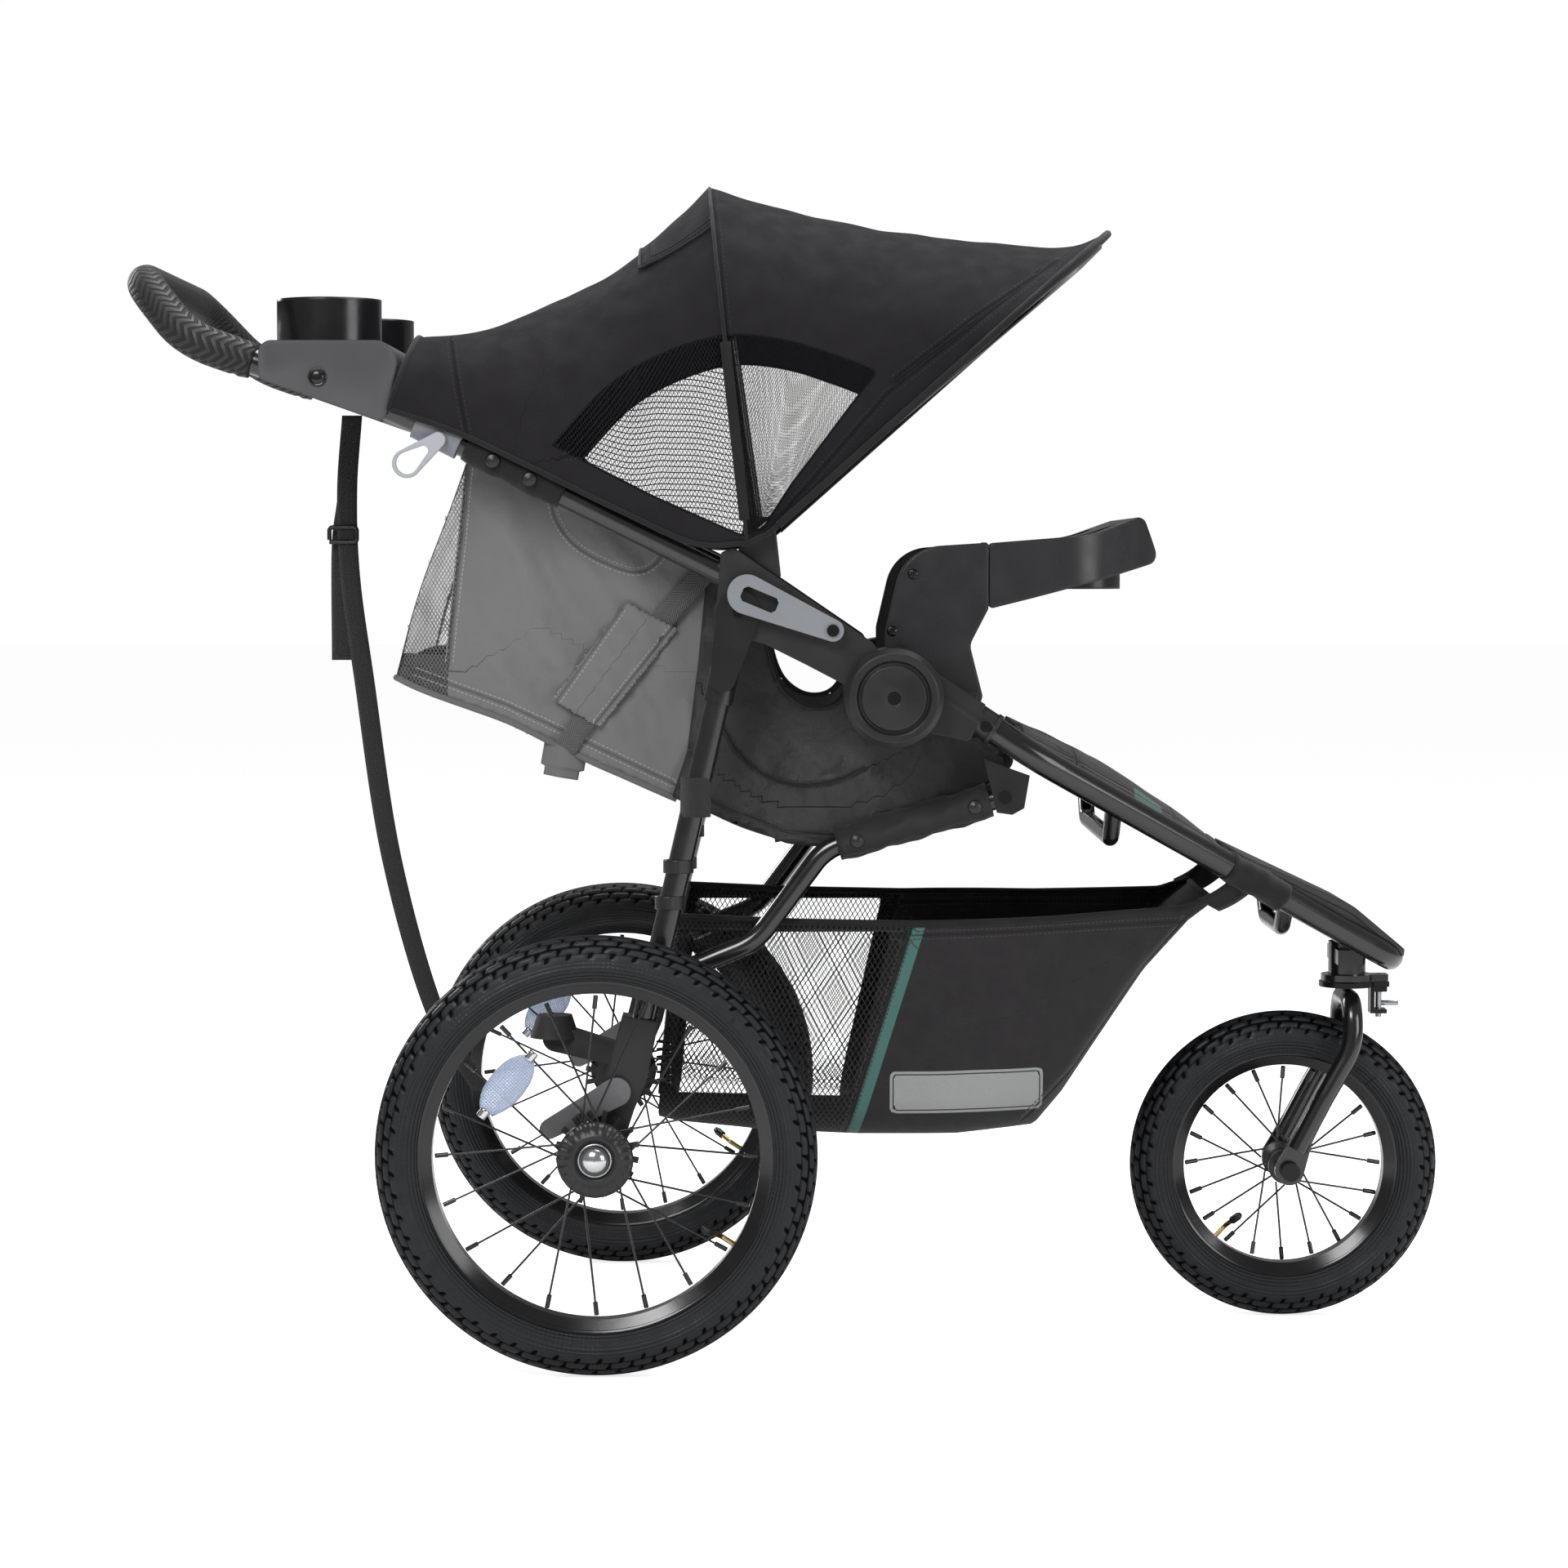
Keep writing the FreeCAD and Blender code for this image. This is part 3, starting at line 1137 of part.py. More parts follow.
# ---------------------------------------------------------------------------
# Rear legs, axle and brake
# ---------------------------------------------------------------------------
def make_leg_brackets():
    """Clevis brackets that hang each rear leg from its hinge arm."""
    reach_end = on_leg(62)
    ahead = reach_end.x - size("axle_x")
    plates = []
    bore = "Sizes.leg_pin_radius + Sizes.running"
    for label, side, thickness in (("outer", -244.0, "4.4"), ("inner", -206.4, "3.6")):
        plates.append(tapered_plate(
            f"leg_plate_{label}", (*LEG_PIVOT, 20), (ahead, reach_end.z, 11.5), thickness, side,
            holes=[(*LEG_PIVOT, bore)],
        ))
    sleeve = rod("leg_sleeve", on_leg(52), on_leg(84), "13.5")
    ties = []
    for label, low, high in (("outer", -244, -236), ("inner", -214, -206.4)):
        top = on_leg(53) + Vector(-6, 0, -14)
        corner = Vector(top.x, low, top.z)
        ties.append(block(f"leg_tie_{label}", corner, Vector(top.x + 12, high, top.z + 14)))
    bore_rod = rod("leg_sleeve_bore", on_leg(40), on_leg(100), "Sizes.leg_radius + 0.1")
    pair("leg_brackets", cut("leg_bracket", fuse("leg_bracket_solid", *plates, sleeve, *ties), bore_rod))


def make_leg_tubes():
    outside = rod("leg_outside", on_leg(53), on_leg(432), LEG)
    inside = rod("leg_inside", on_leg(52), on_leg(433), f"{LEG} - Sizes.tube_wall")
    pair("leg_tubes", cut("leg_tube", outside, inside))


def make_leg_sockets():
    """The feet that join each leg to the axle and the brake shaft."""
    outline = [
        (22, 322), (55, 316), (44, 262), (33, 236), (20, 196), (10, 181), (-10, 181), (-19, 196), (-14, 214),
        (0, 240), (8, 268),
    ]
    foot = plate("foot_plate", outline, "28", -TUBE_PLANE)
    leg_bore = rod("foot_leg_bore", on_leg(360), on_leg(432.5), "Sizes.leg_radius + 0.1")
    axle_bore = pin("foot_axle_bore", 0, REAR_AXLE_UP, -260, -190, "Sizes.axle_radius + Sizes.running")
    shaft_bore = pin("foot_shaft_bore", *BRAKE_PIVOT, -260, -190, "Sizes.brake_shaft_radius + Sizes.running")
    pair("leg_sockets", cut("foot", foot, leg_bore, axle_bore, shaft_bore))


def make_rear_axle():
    """The cross axle with a stub for each rear wheel."""
    stub_end = 304.0
    inner = TUBE_PLANE - 14 - size("gap")
    beam = pin("axle_beam", 0, REAR_AXLE_UP, -inner, inner, cell("cross_axle_radius"))
    stub = pin("axle_stub", 0, REAR_AXLE_UP, -stub_end, stub_end, cell("axle_radius"))
    caps = [
        pin("axle_cap_right", 0, REAR_AXLE_UP, -308, -301.3, "13"),
        pin("axle_cap_left", 0, REAR_AXLE_UP, 301.3, 308, "13"),
    ]
    node(fuse("rear_axle", beam, stub, *caps), "rear_axle")


def make_brake():
    """The foot brake: shaft, pedal, and a lever with its pawl at each wheel."""
    ahead, up = BRAKE_PIVOT
    shaft_end = 240.9
    node(pin("brake_shaft", ahead, up, -shaft_end, shaft_end, cell("brake_shaft_radius")), "brake_shaft")
    bore = "Sizes.brake_shaft_radius + Sizes.running"
    ring_entry = math.radians(112.5)
    pawl_depth = 32.0
    seated = (
        pawl_depth * math.cos(ring_entry) - ahead,
        REAR_AXLE_UP + pawl_depth * math.sin(ring_entry) - up,
    )
    lift = -math.radians(size("brake_angle"))
    pawl_ahead = ahead + seated[0] * math.cos(lift) - seated[1] * math.sin(lift)
    pawl_up = up + seated[0] * math.sin(lift) + seated[1] * math.cos(lift)
    blade = tapered_plate("brake_blade", (ahead, up, 13), (-44, 219, 9), "5", -244.0)
    pawl = pin("brake_pawl", pawl_ahead, pawl_up, -257, -244, "2.5")
    pair("brake_levers", fuse("brake_lever", blade, pawl))
    arm = tapered_plate("pedal_arm", (ahead, up, 10), (-52, 272, 13), "26", 0.0, holes=[(ahead, up, bore)])
    dome_place = Placement(at(-54, 272), Rotation())
    dome = primitive("Cone", "pedal_dome", dome_place, Radius1="24", Radius2="17", Height="22")
    node(fuse("brake_pedal", arm, dome), "brake_pedal")


def make_brake_springs():
    """A coil spring in front of each foot."""
    turns_height = 42.0
    spring = doc.addObject("Part::Feature", "brake_spring")
    helix = Part.makeHelix(7.0, turns_height, 6.5)
    start = Part.makeCircle(1.1, Vector(6.5, 0, 0), Vector(0, 1, 0))
    pipe = Part.Wire(helix).makePipeShell([Part.Wire(start)], True, True)
    spring.Shape = pipe
    spring.Placement = Placement(at(60, 258, -TUBE_PLANE), Rotation())
    pair("brake_springs", spring)


make_leg_brackets()
make_leg_tubes()
make_leg_sockets()
make_rear_axle()
make_brake()
make_brake_springs()

# ---------------------------------------------------------------------------
# Seat frame and seat
# ---------------------------------------------------------------------------
def make_seat_frame():
    """The bent lower links with the cross bar that holds the seat base."""
    points = [
        at(*LINK_PIVOT, -LINK_PLANE),
        at(207, 470, -LINK_PLANE),
        at(143, 384, -LINK_PLANE),
        at(58, 350, -LINK_PLANE),
    ]
    bends = [50, 60]
    bars = []
    hollows = []
    for sign, label in ((1, "right"), (-1, "left")):
        path = [Vector(p.x, p.y * sign, p.z) for p in points]
        start = path[0] + (path[0] - path[1]).normalize() * 11
        full = [start] + path[1:]
        bars.append(swept(f"link_{label}_outside", full, bends, LINK))
        hollows.append(swept(f"link_{label}_inside", full, bends, f"{LINK} - Sizes.tube_wall"))
    cross = pin("link_cross", 292, 495, -LINK_PLANE, LINK_PLANE, "7")
    welded = fuse("link_welded", *bars, cross)
    bores = [
        pin(f"link_bore_{i}", *LINK_PIVOT, low, low + 45, "Sizes.small_pin_radius + Sizes.running")
        for i, low in enumerate((-215, 170))
    ]
    node(cut("seat_frame", welded, *hollows, *bores), "seat_frame")


def make_seat_base():
    """The padded seat base on the seat frame."""
    outline = [(230, 491), (286, 507), (372, 532), (392, 548), (386, 560), (366, 556), (280, 532), (231, 518)]
    node(plate("seat_base", outline, "2 * Sizes.seat_base_half", 0.0), "seat_base")


def make_seat_back():
    """The padded reclining back board and its hinge rod."""
    ahead, up = size("recline_ahead"), size("recline_up")
    outline = [
        (ahead - 6, up + 12), (ahead - 2, up + 36), (ahead - 366, up + 190), (ahead - 382, up + 181),
        (ahead - 384, up + 160),
    ]
    board = plate("back_board", outline, "2 * Sizes.seat_half", 0.0)
    rod_body = pin("recline_rod", ahead, up, -size("seat_half"), size("seat_half"), "5")
    lug_outline = [(ahead - 14, up + 20), (ahead, up + 20), (ahead + 3, up), (ahead - 4, up)]
    lug = plate("recline_lug", lug_outline, "120", 0.0)
    node(fuse("seat_back_board", board, rod_body, lug), "seat_back_board")


def make_seat_sides():
    """The cloth walls of the seat, each side and across the head end."""
    inner = size("seat_half") + 7
    skin = size("sheet")
    outline = [
        (-190, 626), (-117, 836), (118, 716), (176, 640), (214, 560), (300, 560), (366, 535), (208, 478),
        (170, 476),
    ]
    wall = plate("wall_right", outline, str(skin), -(inner + skin / 2))
    end_outline = [(-179, 668), (-119, 834), (-116, 834), (-176, 668)]
    end_wall = plate("wall_head", end_outline, str(2 * inner - 1), 0.0)
    group("seat_sides", wall, mirrored(wall), end_wall)


def make_harness():
    """Shoulder and lap straps that lie on the seat back, with the buckle."""
    ahead, up = size("recline_ahead"), size("recline_up")
    straps = []
    for sign, label in ((-1, "right"), (1, "left")):
        straps.append(plate(f"shoulder_{label}", [
            (ahead - 260, up + 146.5), (ahead - 40, up + 53.5),
            (ahead - 39, up + 56), (ahead - 259, up + 149),
        ], "38", sign * 55.0))
    buckle = plate("buckle_body", [
        (ahead - 62, up + 67), (ahead - 22, up + 50), (ahead - 18, up + 60), (ahead - 58, up + 77),
    ], "60", 0.0)
    across = Vector(0.391, 0, 0.92)
    centre = at(ahead - 40, up + 63.5)
    well = rod("buckle_well", centre - across * 1, centre + across * 30, "11.3")
    group("harness", *straps, cut("buckle_cup", buckle, well))
    button = rod("buckle_button_disc", centre - across * 0.8 + across * 3.5, centre + across * 9, "11")
    node(button, "buckle_button")


make_seat_frame()
make_seat_base()
make_seat_back()
make_seat_sides()
make_harness()

# ---------------------------------------------------------------------------
# Canopy
# ---------------------------------------------------------------------------
MID_BOW_ANGLE = 98.0
MID_BOW_REACH = 314.0
FRONT_BOW_ANGLE = 40.0
FRONT_BOW_REACH = 413.0


def bow_points(angle, half, reach):
    """Corner points of a canopy bow in its own plane through the pivot."""
    lean = math.radians(angle)
    pivot = at(*CANOPY_PIVOT)
    out = Vector(math.cos(lean), 0, math.sin(lean))
    foot = pivot - out * 6 - Vector(0, half, 0)
    top = pivot + out * reach - Vector(0, half, 0)
    return both_sides([foot, top])


def make_bows():
    """The canopy's middle and front bows, pinned at the same pivot."""
    for name, angle, half, reach, radius in (
        ("canopy_mid_bow", MID_BOW_ANGLE, 231.5, MID_BOW_REACH, cell("bow_radius")),
        ("canopy_front_bow", FRONT_BOW_ANGLE, 240.0, FRONT_BOW_REACH, "3.6"),
    ):
        bar = swept(f"{name}_bar", bow_points(angle, half, reach), [140, 140], radius)
        bores = [
            pin(f"{name}_bore_{i}", *CANOPY_PIVOT, low, low + 30, "2.55") for i, low in enumerate((-250, 220))
        ]
        node(cut(name, bar, *bores), name)


def arch_wire(base, top, half, corner):
    """A closed arch across the stroller between a base line and a top line."""
    rise = (top - base).normalize()
    across = Vector(0, 1, 0)
    height = (top - base).Length
    bend = min(corner, height * 0.8)
    low_right = base - across * half
    low_left = base + across * half
    right_start = low_right + rise * (height - bend)
    left_start = low_left + rise * (height - bend)
    knee = bend * (1 - math.sqrt(0.5))
    right_mid = low_right + across * knee + rise * (height - knee)
    left_mid = low_left - across * knee + rise * (height - knee)
    top_right = top - across * (half - bend)
    top_left = top + across * (half - bend)
    return Part.Wire([
        Part.LineSegment(low_right, right_start).toShape(),
        Part.Arc(right_start, right_mid, top_right).toShape(),
        Part.LineSegment(top_right, top_left).toShape(),
        Part.Arc(top_left, left_mid, left_start).toShape(),
        Part.LineSegment(left_start, low_left).toShape(),
        Part.LineSegment(low_left, low_right).toShape(),
    ])


def cloth_arch(name, stations, corner):
    """A cloth shell lofted through arches; each station is (base, top)."""
    half = size("canopy_half")
    skin = size("sheet")
    outer = []
    inner = []
    for base, top in stations:
        low = at(*base)
        high = at(*top)
        rise = (high - low).normalize()
        outer.append(arch_wire(low, high, half, corner))
        inner.append(arch_wire(low - rise * 20, high - rise * skin, half - skin, corner - skin))
    outside = Part.makeLoft(outer, True, True)
    stretch = Part.makeLoft(inner, True, True)
    thing = doc.addObject("Part::Feature", name)
    thing.Shape = outside.cut(stretch)
    return node(thing, name)


REAR_STATIONS = [
    ((-164, 866), (-160, 938)),
    ((-60, 802), (-58, 964)),
    ((40, 766), (36, 1022)),
    ((139, 752), (99, 1080)),
]
FRONT_STATIONS = [
    ((150, 765), (105, 1079)),
    ((158, 769), (270, 1048)),
    ((166, 773), (428, 1030)),
    ((168, 768), (468, 1037)),
]

make_bows()
cloth_arch("canopy_rear_panel", REAR_STATIONS, 140.0)
cloth_arch("canopy_front_panel", FRONT_STATIONS, 140.0)

# ---------------------------------------------------------------------------
# Check every object, then write one file for each sub-part
# ---------------------------------------------------------------------------
doc.recompute()
failed = [thing.Label for thing in doc.Objects if {"Invalid", "Error"} & set(thing.State)]
if failed:
    raise RuntimeError(f"failed objects: {failed}")
for thing in NODES:
    if thing.Shape.isNull() or not thing.Shape.isValid():
        raise RuntimeError(f"{thing.Label} has no valid shape")
for thing in NODES:
    thing.Shape.exportStep(f"parts/{thing.Label}.step")
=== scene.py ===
import json
import math

import bmesh
import bpy
import numpy as np
from mathutils import Matrix, Vector, noise


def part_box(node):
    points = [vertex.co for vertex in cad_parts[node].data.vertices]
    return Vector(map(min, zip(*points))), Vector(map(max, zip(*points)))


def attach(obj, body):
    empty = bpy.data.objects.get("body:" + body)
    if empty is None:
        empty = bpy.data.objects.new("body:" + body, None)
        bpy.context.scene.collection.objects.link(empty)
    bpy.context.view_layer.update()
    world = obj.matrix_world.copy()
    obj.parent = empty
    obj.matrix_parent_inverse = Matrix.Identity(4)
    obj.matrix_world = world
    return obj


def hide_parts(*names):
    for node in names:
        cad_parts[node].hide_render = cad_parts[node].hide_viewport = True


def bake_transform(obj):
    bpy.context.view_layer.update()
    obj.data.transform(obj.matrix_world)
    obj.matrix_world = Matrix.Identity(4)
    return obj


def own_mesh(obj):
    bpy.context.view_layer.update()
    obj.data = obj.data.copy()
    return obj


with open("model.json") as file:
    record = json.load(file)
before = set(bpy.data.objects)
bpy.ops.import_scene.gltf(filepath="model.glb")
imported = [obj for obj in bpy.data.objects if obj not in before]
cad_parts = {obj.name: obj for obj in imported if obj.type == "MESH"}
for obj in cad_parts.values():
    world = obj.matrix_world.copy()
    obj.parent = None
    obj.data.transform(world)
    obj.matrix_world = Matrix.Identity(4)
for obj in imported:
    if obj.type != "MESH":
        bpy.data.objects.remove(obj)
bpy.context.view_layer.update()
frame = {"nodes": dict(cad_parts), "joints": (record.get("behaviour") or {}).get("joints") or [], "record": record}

# ---------------------------------------------------------------------------
# Places.  Everything is in metres in the frame of the CAD model; side-view
# places are given ahead of the rear axle and above the ground.
# ---------------------------------------------------------------------------
JOINTS = {joint["name"]: joint for joint in frame["joints"]}
AXLE_X = JOINTS["rear_right_spin"]["pos_m"][0]
SIDES = (("right", -1), ("left", 1))


def at(ahead, up, side=0.0):
    return Vector((AXLE_X + ahead, side, up))


def joint_place(name):
    """A joint's place as (ahead, up)."""
    x, _, z = JOINTS[name]["pos_m"]
    return x - AXLE_X, z


LEG_PIVOT = joint_place("leg_fold")
TUBE_PLANE = 0.225
HANDLE_BEND = (-0.178, 0.8683)
HANDLE_RISE = (-0.370, 0.9343)
HANDLE_TOP = (-0.419, 0.990)
HANDLE_CORNER = 0.175
CANOPY_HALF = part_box("canopy_rear_panel")[1].y
CANOPY_CORNER = 0.140
CANOPY_COLUMNS = 150
WALL_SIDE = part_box("seat_sides")[1].y
CLOTH_THICKNESS = 0.0012


# ---------------------------------------------------------------------------
# Lines and outlines
# ---------------------------------------------------------------------------
def as_vectors(points):
    """Vectors from places; a pair is a place in the side view."""
    return [Vector((*p, 0)) if len(p) == 2 else Vector(p) for p in points]


def smooth_line(points, steps=8):
    """A smooth curve through the points."""
    knots = as_vectors(points)
    knots = [knots[0] * 2 - knots[1]] + knots + [knots[-1] * 2 - knots[-2]]
    line = []
    for i in range(1, len(knots) - 2):
        a, b, c, d = knots[i - 1:i + 3]
        for k in range(steps):
            t = k / steps
            square, cube = 2 * a - 5 * b + 4 * c - d, 3 * b - a - 3 * c + d
            line.append(0.5 * (2 * b + (c - a) * t + square * t ** 2 + cube * t ** 3))
    line.append(knots[-2])
    return line


def rounded_line(points, bends, step=0.006):
    """Straight runs joined by arcs of the given radii, as closely spaced places."""
    points = as_vectors(points)
    line = [points[0]]
    for before, corner, after, radius in zip(points, points[1:], points[2:], bends):
        into = (corner - before).normalized()
        out = (after - corner).normalized()
        turn = into.angle(out)
        reach = radius * math.tan(turn / 2)
        centre = corner + (out - into).normalized() * (radius / math.cos(turn / 2))
        count = max(3, int(radius * turn / step))
        axis = into.cross(out).normalized()
        start = corner - into * reach - centre
        for k in range(count + 1):
            line.append(centre + Matrix.Rotation(turn * k / count, 3, axis) @ start)
    line.append(points[-1])
    full = [line[0]]
    for a, b in zip(line, line[1:]):
        count = max(1, int((b - a).length / step))
        full += [a.lerp(b, k / count) for k in range(1, count + 1)]
    return full


def both_sides(points):
    return points + [Vector((p.x, -p.y, p.z)) for p in reversed(points)]


def line_fields(places, lines):
    """Signed distance to the nearest of several side-view lines, and the way along it."""
    best = np.full(len(places), 1e9)
    signed = np.full(len(places), 1e9)
    along = np.zeros(len(places))
    for line in lines:
        run = 0.0
        for a, b in zip(line, line[1:]):
            a, b = np.array(a[:2]), np.array(b[:2])
            step = b - a
            length = float(np.hypot(*step))
            if length < 1e-9:
                continue
            away = places - a
            t = np.clip(away @ step / length ** 2, 0, 1)
            gap = np.hypot(*(away - t[:, None] * step).T)
            cross = (step[0] * away[:, 1] - step[1] * away[:, 0]) / length
            nearer = gap < best
            best = np.where(nearer, gap, best)
            signed = np.where(nearer, np.copysign(gap, cross), signed)
            along = np.where(nearer, run + t * length, along)
            run += length
    return signed, along


def outline_field(places, outline):
    """Signed distance to a closed outline, negative inside it."""
    corners = [np.array(p[:2]) for p in outline]
    gap = np.full(len(places), 1e9)
    inside = np.zeros(len(places), bool)
    for a, b in zip(corners, corners[1:] + corners[:1]):
        step = b - a
        if np.hypot(*step) < 1e-9:
            continue
        away = places - a
        t = np.clip(away @ step / (step @ step), 0, 1)
        gap = np.minimum(gap, np.hypot(*(away - t[:, None] * step).T))
        crosses = (a[1] > places[:, 1]) != (b[1] > places[:, 1])
        rise = np.where(abs(step[1]) < 1e-12, 1e-12, step[1])
        inside ^= crosses & (places[:, 0] < a[0] + (places[:, 1] - a[1]) * step[0] / rise)
    return np.where(inside, -gap, gap)


# ---------------------------------------------------------------------------
# Meshes
# ---------------------------------------------------------------------------
def make_mesh(name, points, faces, uvs=None, smooth=True):
    """A mesh object; uvs holds one (u, v) in metres for each point."""
    data = bpy.data.meshes.new(name)
    data.from_pydata([tuple(p) for p in points], [], faces)
    data.validate()
    if uvs is not None:
        layer = data.uv_layers.new(name="metres")
        spread = np.array(uvs, np.float32)
        corner_points = np.zeros(len(data.loops), np.int32)
        data.loops.foreach_get("vertex_index", corner_points)
        layer.data.foreach_set("uv", spread[corner_points].ravel())
    data.polygons.foreach_set("use_smooth", [smooth] * len(data.polygons))
    thing = bpy.data.objects.new(name, data)
    bpy.context.scene.collection.objects.link(thing)
    return thing


def grid_faces(rows, columns, closed=False):
    faces = []
    last = columns if closed else columns - 1
    for i in range(rows - 1):
        for j in range(last):
            k = (j + 1) % columns
            faces.append((i * columns + j, i * columns + k, (i + 1) * columns + k, (i + 1) * columns + j))
    return faces


def lengths(points):
    """Running length along a line of places."""
    total = [0.0]
    for a, b in zip(points, points[1:]):
        total.append(total[-1] + (Vector(b) - Vector(a)).length)
    return total


def grid_sheet(name, rows, thickness):
    """A sheet through rows of places, with lengths in metres as its UVs."""
    columns = len(rows[0])
    middle = lengths([row[columns // 2] for row in rows])
    uvs = []
    for i, row in enumerate(rows):
        uvs += [(middle[i], across) for across in lengths(row)]
    sheet = make_mesh(name, [p for row in rows for p in row], grid_faces(len(rows), columns), uvs)
    return thicken(sheet, thickness)


def thicken(sheet, thickness):
    skin = sheet.modifiers.new("skin", "SOLIDIFY")
    skin.thickness = thickness
    skin.offset = 0.0
    return sheet


def sweep(name, path, radius, sides):
    """A round bar along a path; radius is a number or a function of (way, angle)."""
    way = lengths(path)
    points = []
    uvs = []
    side = None
    for i, place in enumerate(path):
        ahead = (path[min(i + 1, len(path) - 1)] - path[max(i - 1, 0)]).normalized()
        if side is None:
            side = ahead.orthogonal().normalized()
        side = (side - ahead * side.dot(ahead)).normalized()
        other = ahead.cross(side)
        for k in range(sides):
            angle = 2 * math.pi * k / sides
            size = radius(way[i], angle) if callable(radius) else radius
            points.append(place + side * (math.cos(angle) * size) + other * (math.sin(angle) * size))
            uvs.append((way[i], angle * (radius(0, 0) if callable(radius) else radius)))
    faces = grid_faces(len(path), sides, closed=True)
    faces.append(tuple(reversed(range(sides))))
    faces.append(tuple(range(len(points) - sides, len(points))))
    return make_mesh(name, points, faces, uvs)


def strap(name, path, width, across, thickness=0.0016):
    """Flat webbing along a path; across is the direction of its width."""
    rows = []
    for place in path:
        rows.append([place + across * (width * (k / 4 - 0.5)) for k in range(5)])
    return grid_sheet(name, rows, thickness)


def lathe(name, profile, centre, axis, steps=64, shape=None):
    """A turned piece: profile is (radius, along the axis); shape may move each place."""
    axis = Vector(axis).normalized()
    first = axis.orthogonal().normalized()
    second = axis.cross(first)
    points = []
    uvs = []
    run = lengths([Vector((r, a, 0)) for r, a in profile])
    for i in range(steps):
        turn = 2 * math.pi * i / steps
        out = first * math.cos(turn) + second * math.sin(turn)
        for j, (r, a) in enumerate(profile):
            if shape:
                r, a = shape(turn, j, r, a)
            points.append(Vector(centre) + out * r + axis * a)
            uvs.append((turn * profile[0][0], run[j]))
    count = len(profile)
    faces = []
    for i in range(steps):
        k = (i + 1) % steps
        for j in range(count - 1):
            faces.append((i * count + j, i * count + j + 1, k * count + j + 1, k * count + j))
    return make_mesh(name, points, faces, uvs)


def panel(name, outline, across, holes=(), cell=0.005):
    """A cloth panel cut to a side-view outline; across(ahead, up) is its place sideways."""
    xs = [p[0] for p in outline]
    zs = [p[1] for p in outline]
    columns = int((max(xs) - min(xs)) / cell) + 3
    rows = int((max(zs) - min(zs)) / cell) + 3
    grid = np.array([
        (min(xs) - cell + i * cell, min(zs) - cell + j * cell) for j in range(rows) for i in range(columns)
    ])
    outlines = [list(outline)] + [list(hole) for hole in holes]

    def gap(places):
        inside = outline_field(places, outlines[0])
        for hole in outlines[1:]:
            inside = np.maximum(inside, -outline_field(places, hole))
        return inside

    for _ in range(3):
        distance = gap(grid)
        slope = np.stack([
            gap(grid + np.array([1e-4, 0])) - distance, gap(grid + np.array([0, 1e-4])) - distance,
        ], 1) / 1e-4
        close = np.abs(distance) < 0.55 * cell
        grid = grid - np.where(close[:, None], distance[:, None] * slope, 0)
    faces = []
    for face in grid_faces(rows, columns):
        middle = grid[list(face)].mean(0)
        faces.append((face, middle))
    kept = gap(np.array([middle for _, middle in faces])) < 0
    faces = [face for (face, _), keep in zip(faces, kept) if keep]
    used = sorted({i for face in faces for i in face})
    index = {old: new for new, old in enumerate(used)}
    places = grid[used]
    points = [at(x, z, across(x, z)) for x, z in places]
    sheet = make_mesh(name, points, [tuple(index[i] for i in face) for face in faces], places)
    return thicken(sheet, CLOTH_THICKNESS)


def mesh_places(thing):
    return np.array([v.co for v in thing.data.vertices])


def move_places(thing, points):
    thing.data.vertices.foreach_set("co", points.ravel())
    thing.data.update()


def side_places(thing):
    """A mesh's points as (ahead, up) pairs."""
    points = mesh_places(thing)
    return np.stack([points[:, 0] - AXLE_X, points[:, 2]], 1)


def add_fields(thing, **fields):
    """Store one number at each point for each named field, for the material to read."""
    count = len(thing.data.vertices)
    for name, values in fields.items():
        field = thing.data.attributes.new(name, "FLOAT", "POINT")
        field.data.foreach_set("value", np.broadcast_to(np.asarray(values, np.float32), count))


def add_seams(thing, lines, places=None):
    signed, along = line_fields(side_places(thing) if places is None else places, lines)
    add_fields(thing, seam=signed, along=along)


def ripple(place, size, seed=0.0):
    """Soft, repeatable unevenness between -1 and 1."""
    return noise.noise(Vector(place) / size + Vector((seed, seed * 0.7, -seed)))


# ---------------------------------------------------------------------------
# Finishes
# ---------------------------------------------------------------------------
FIELD_EDGE = 0.0004


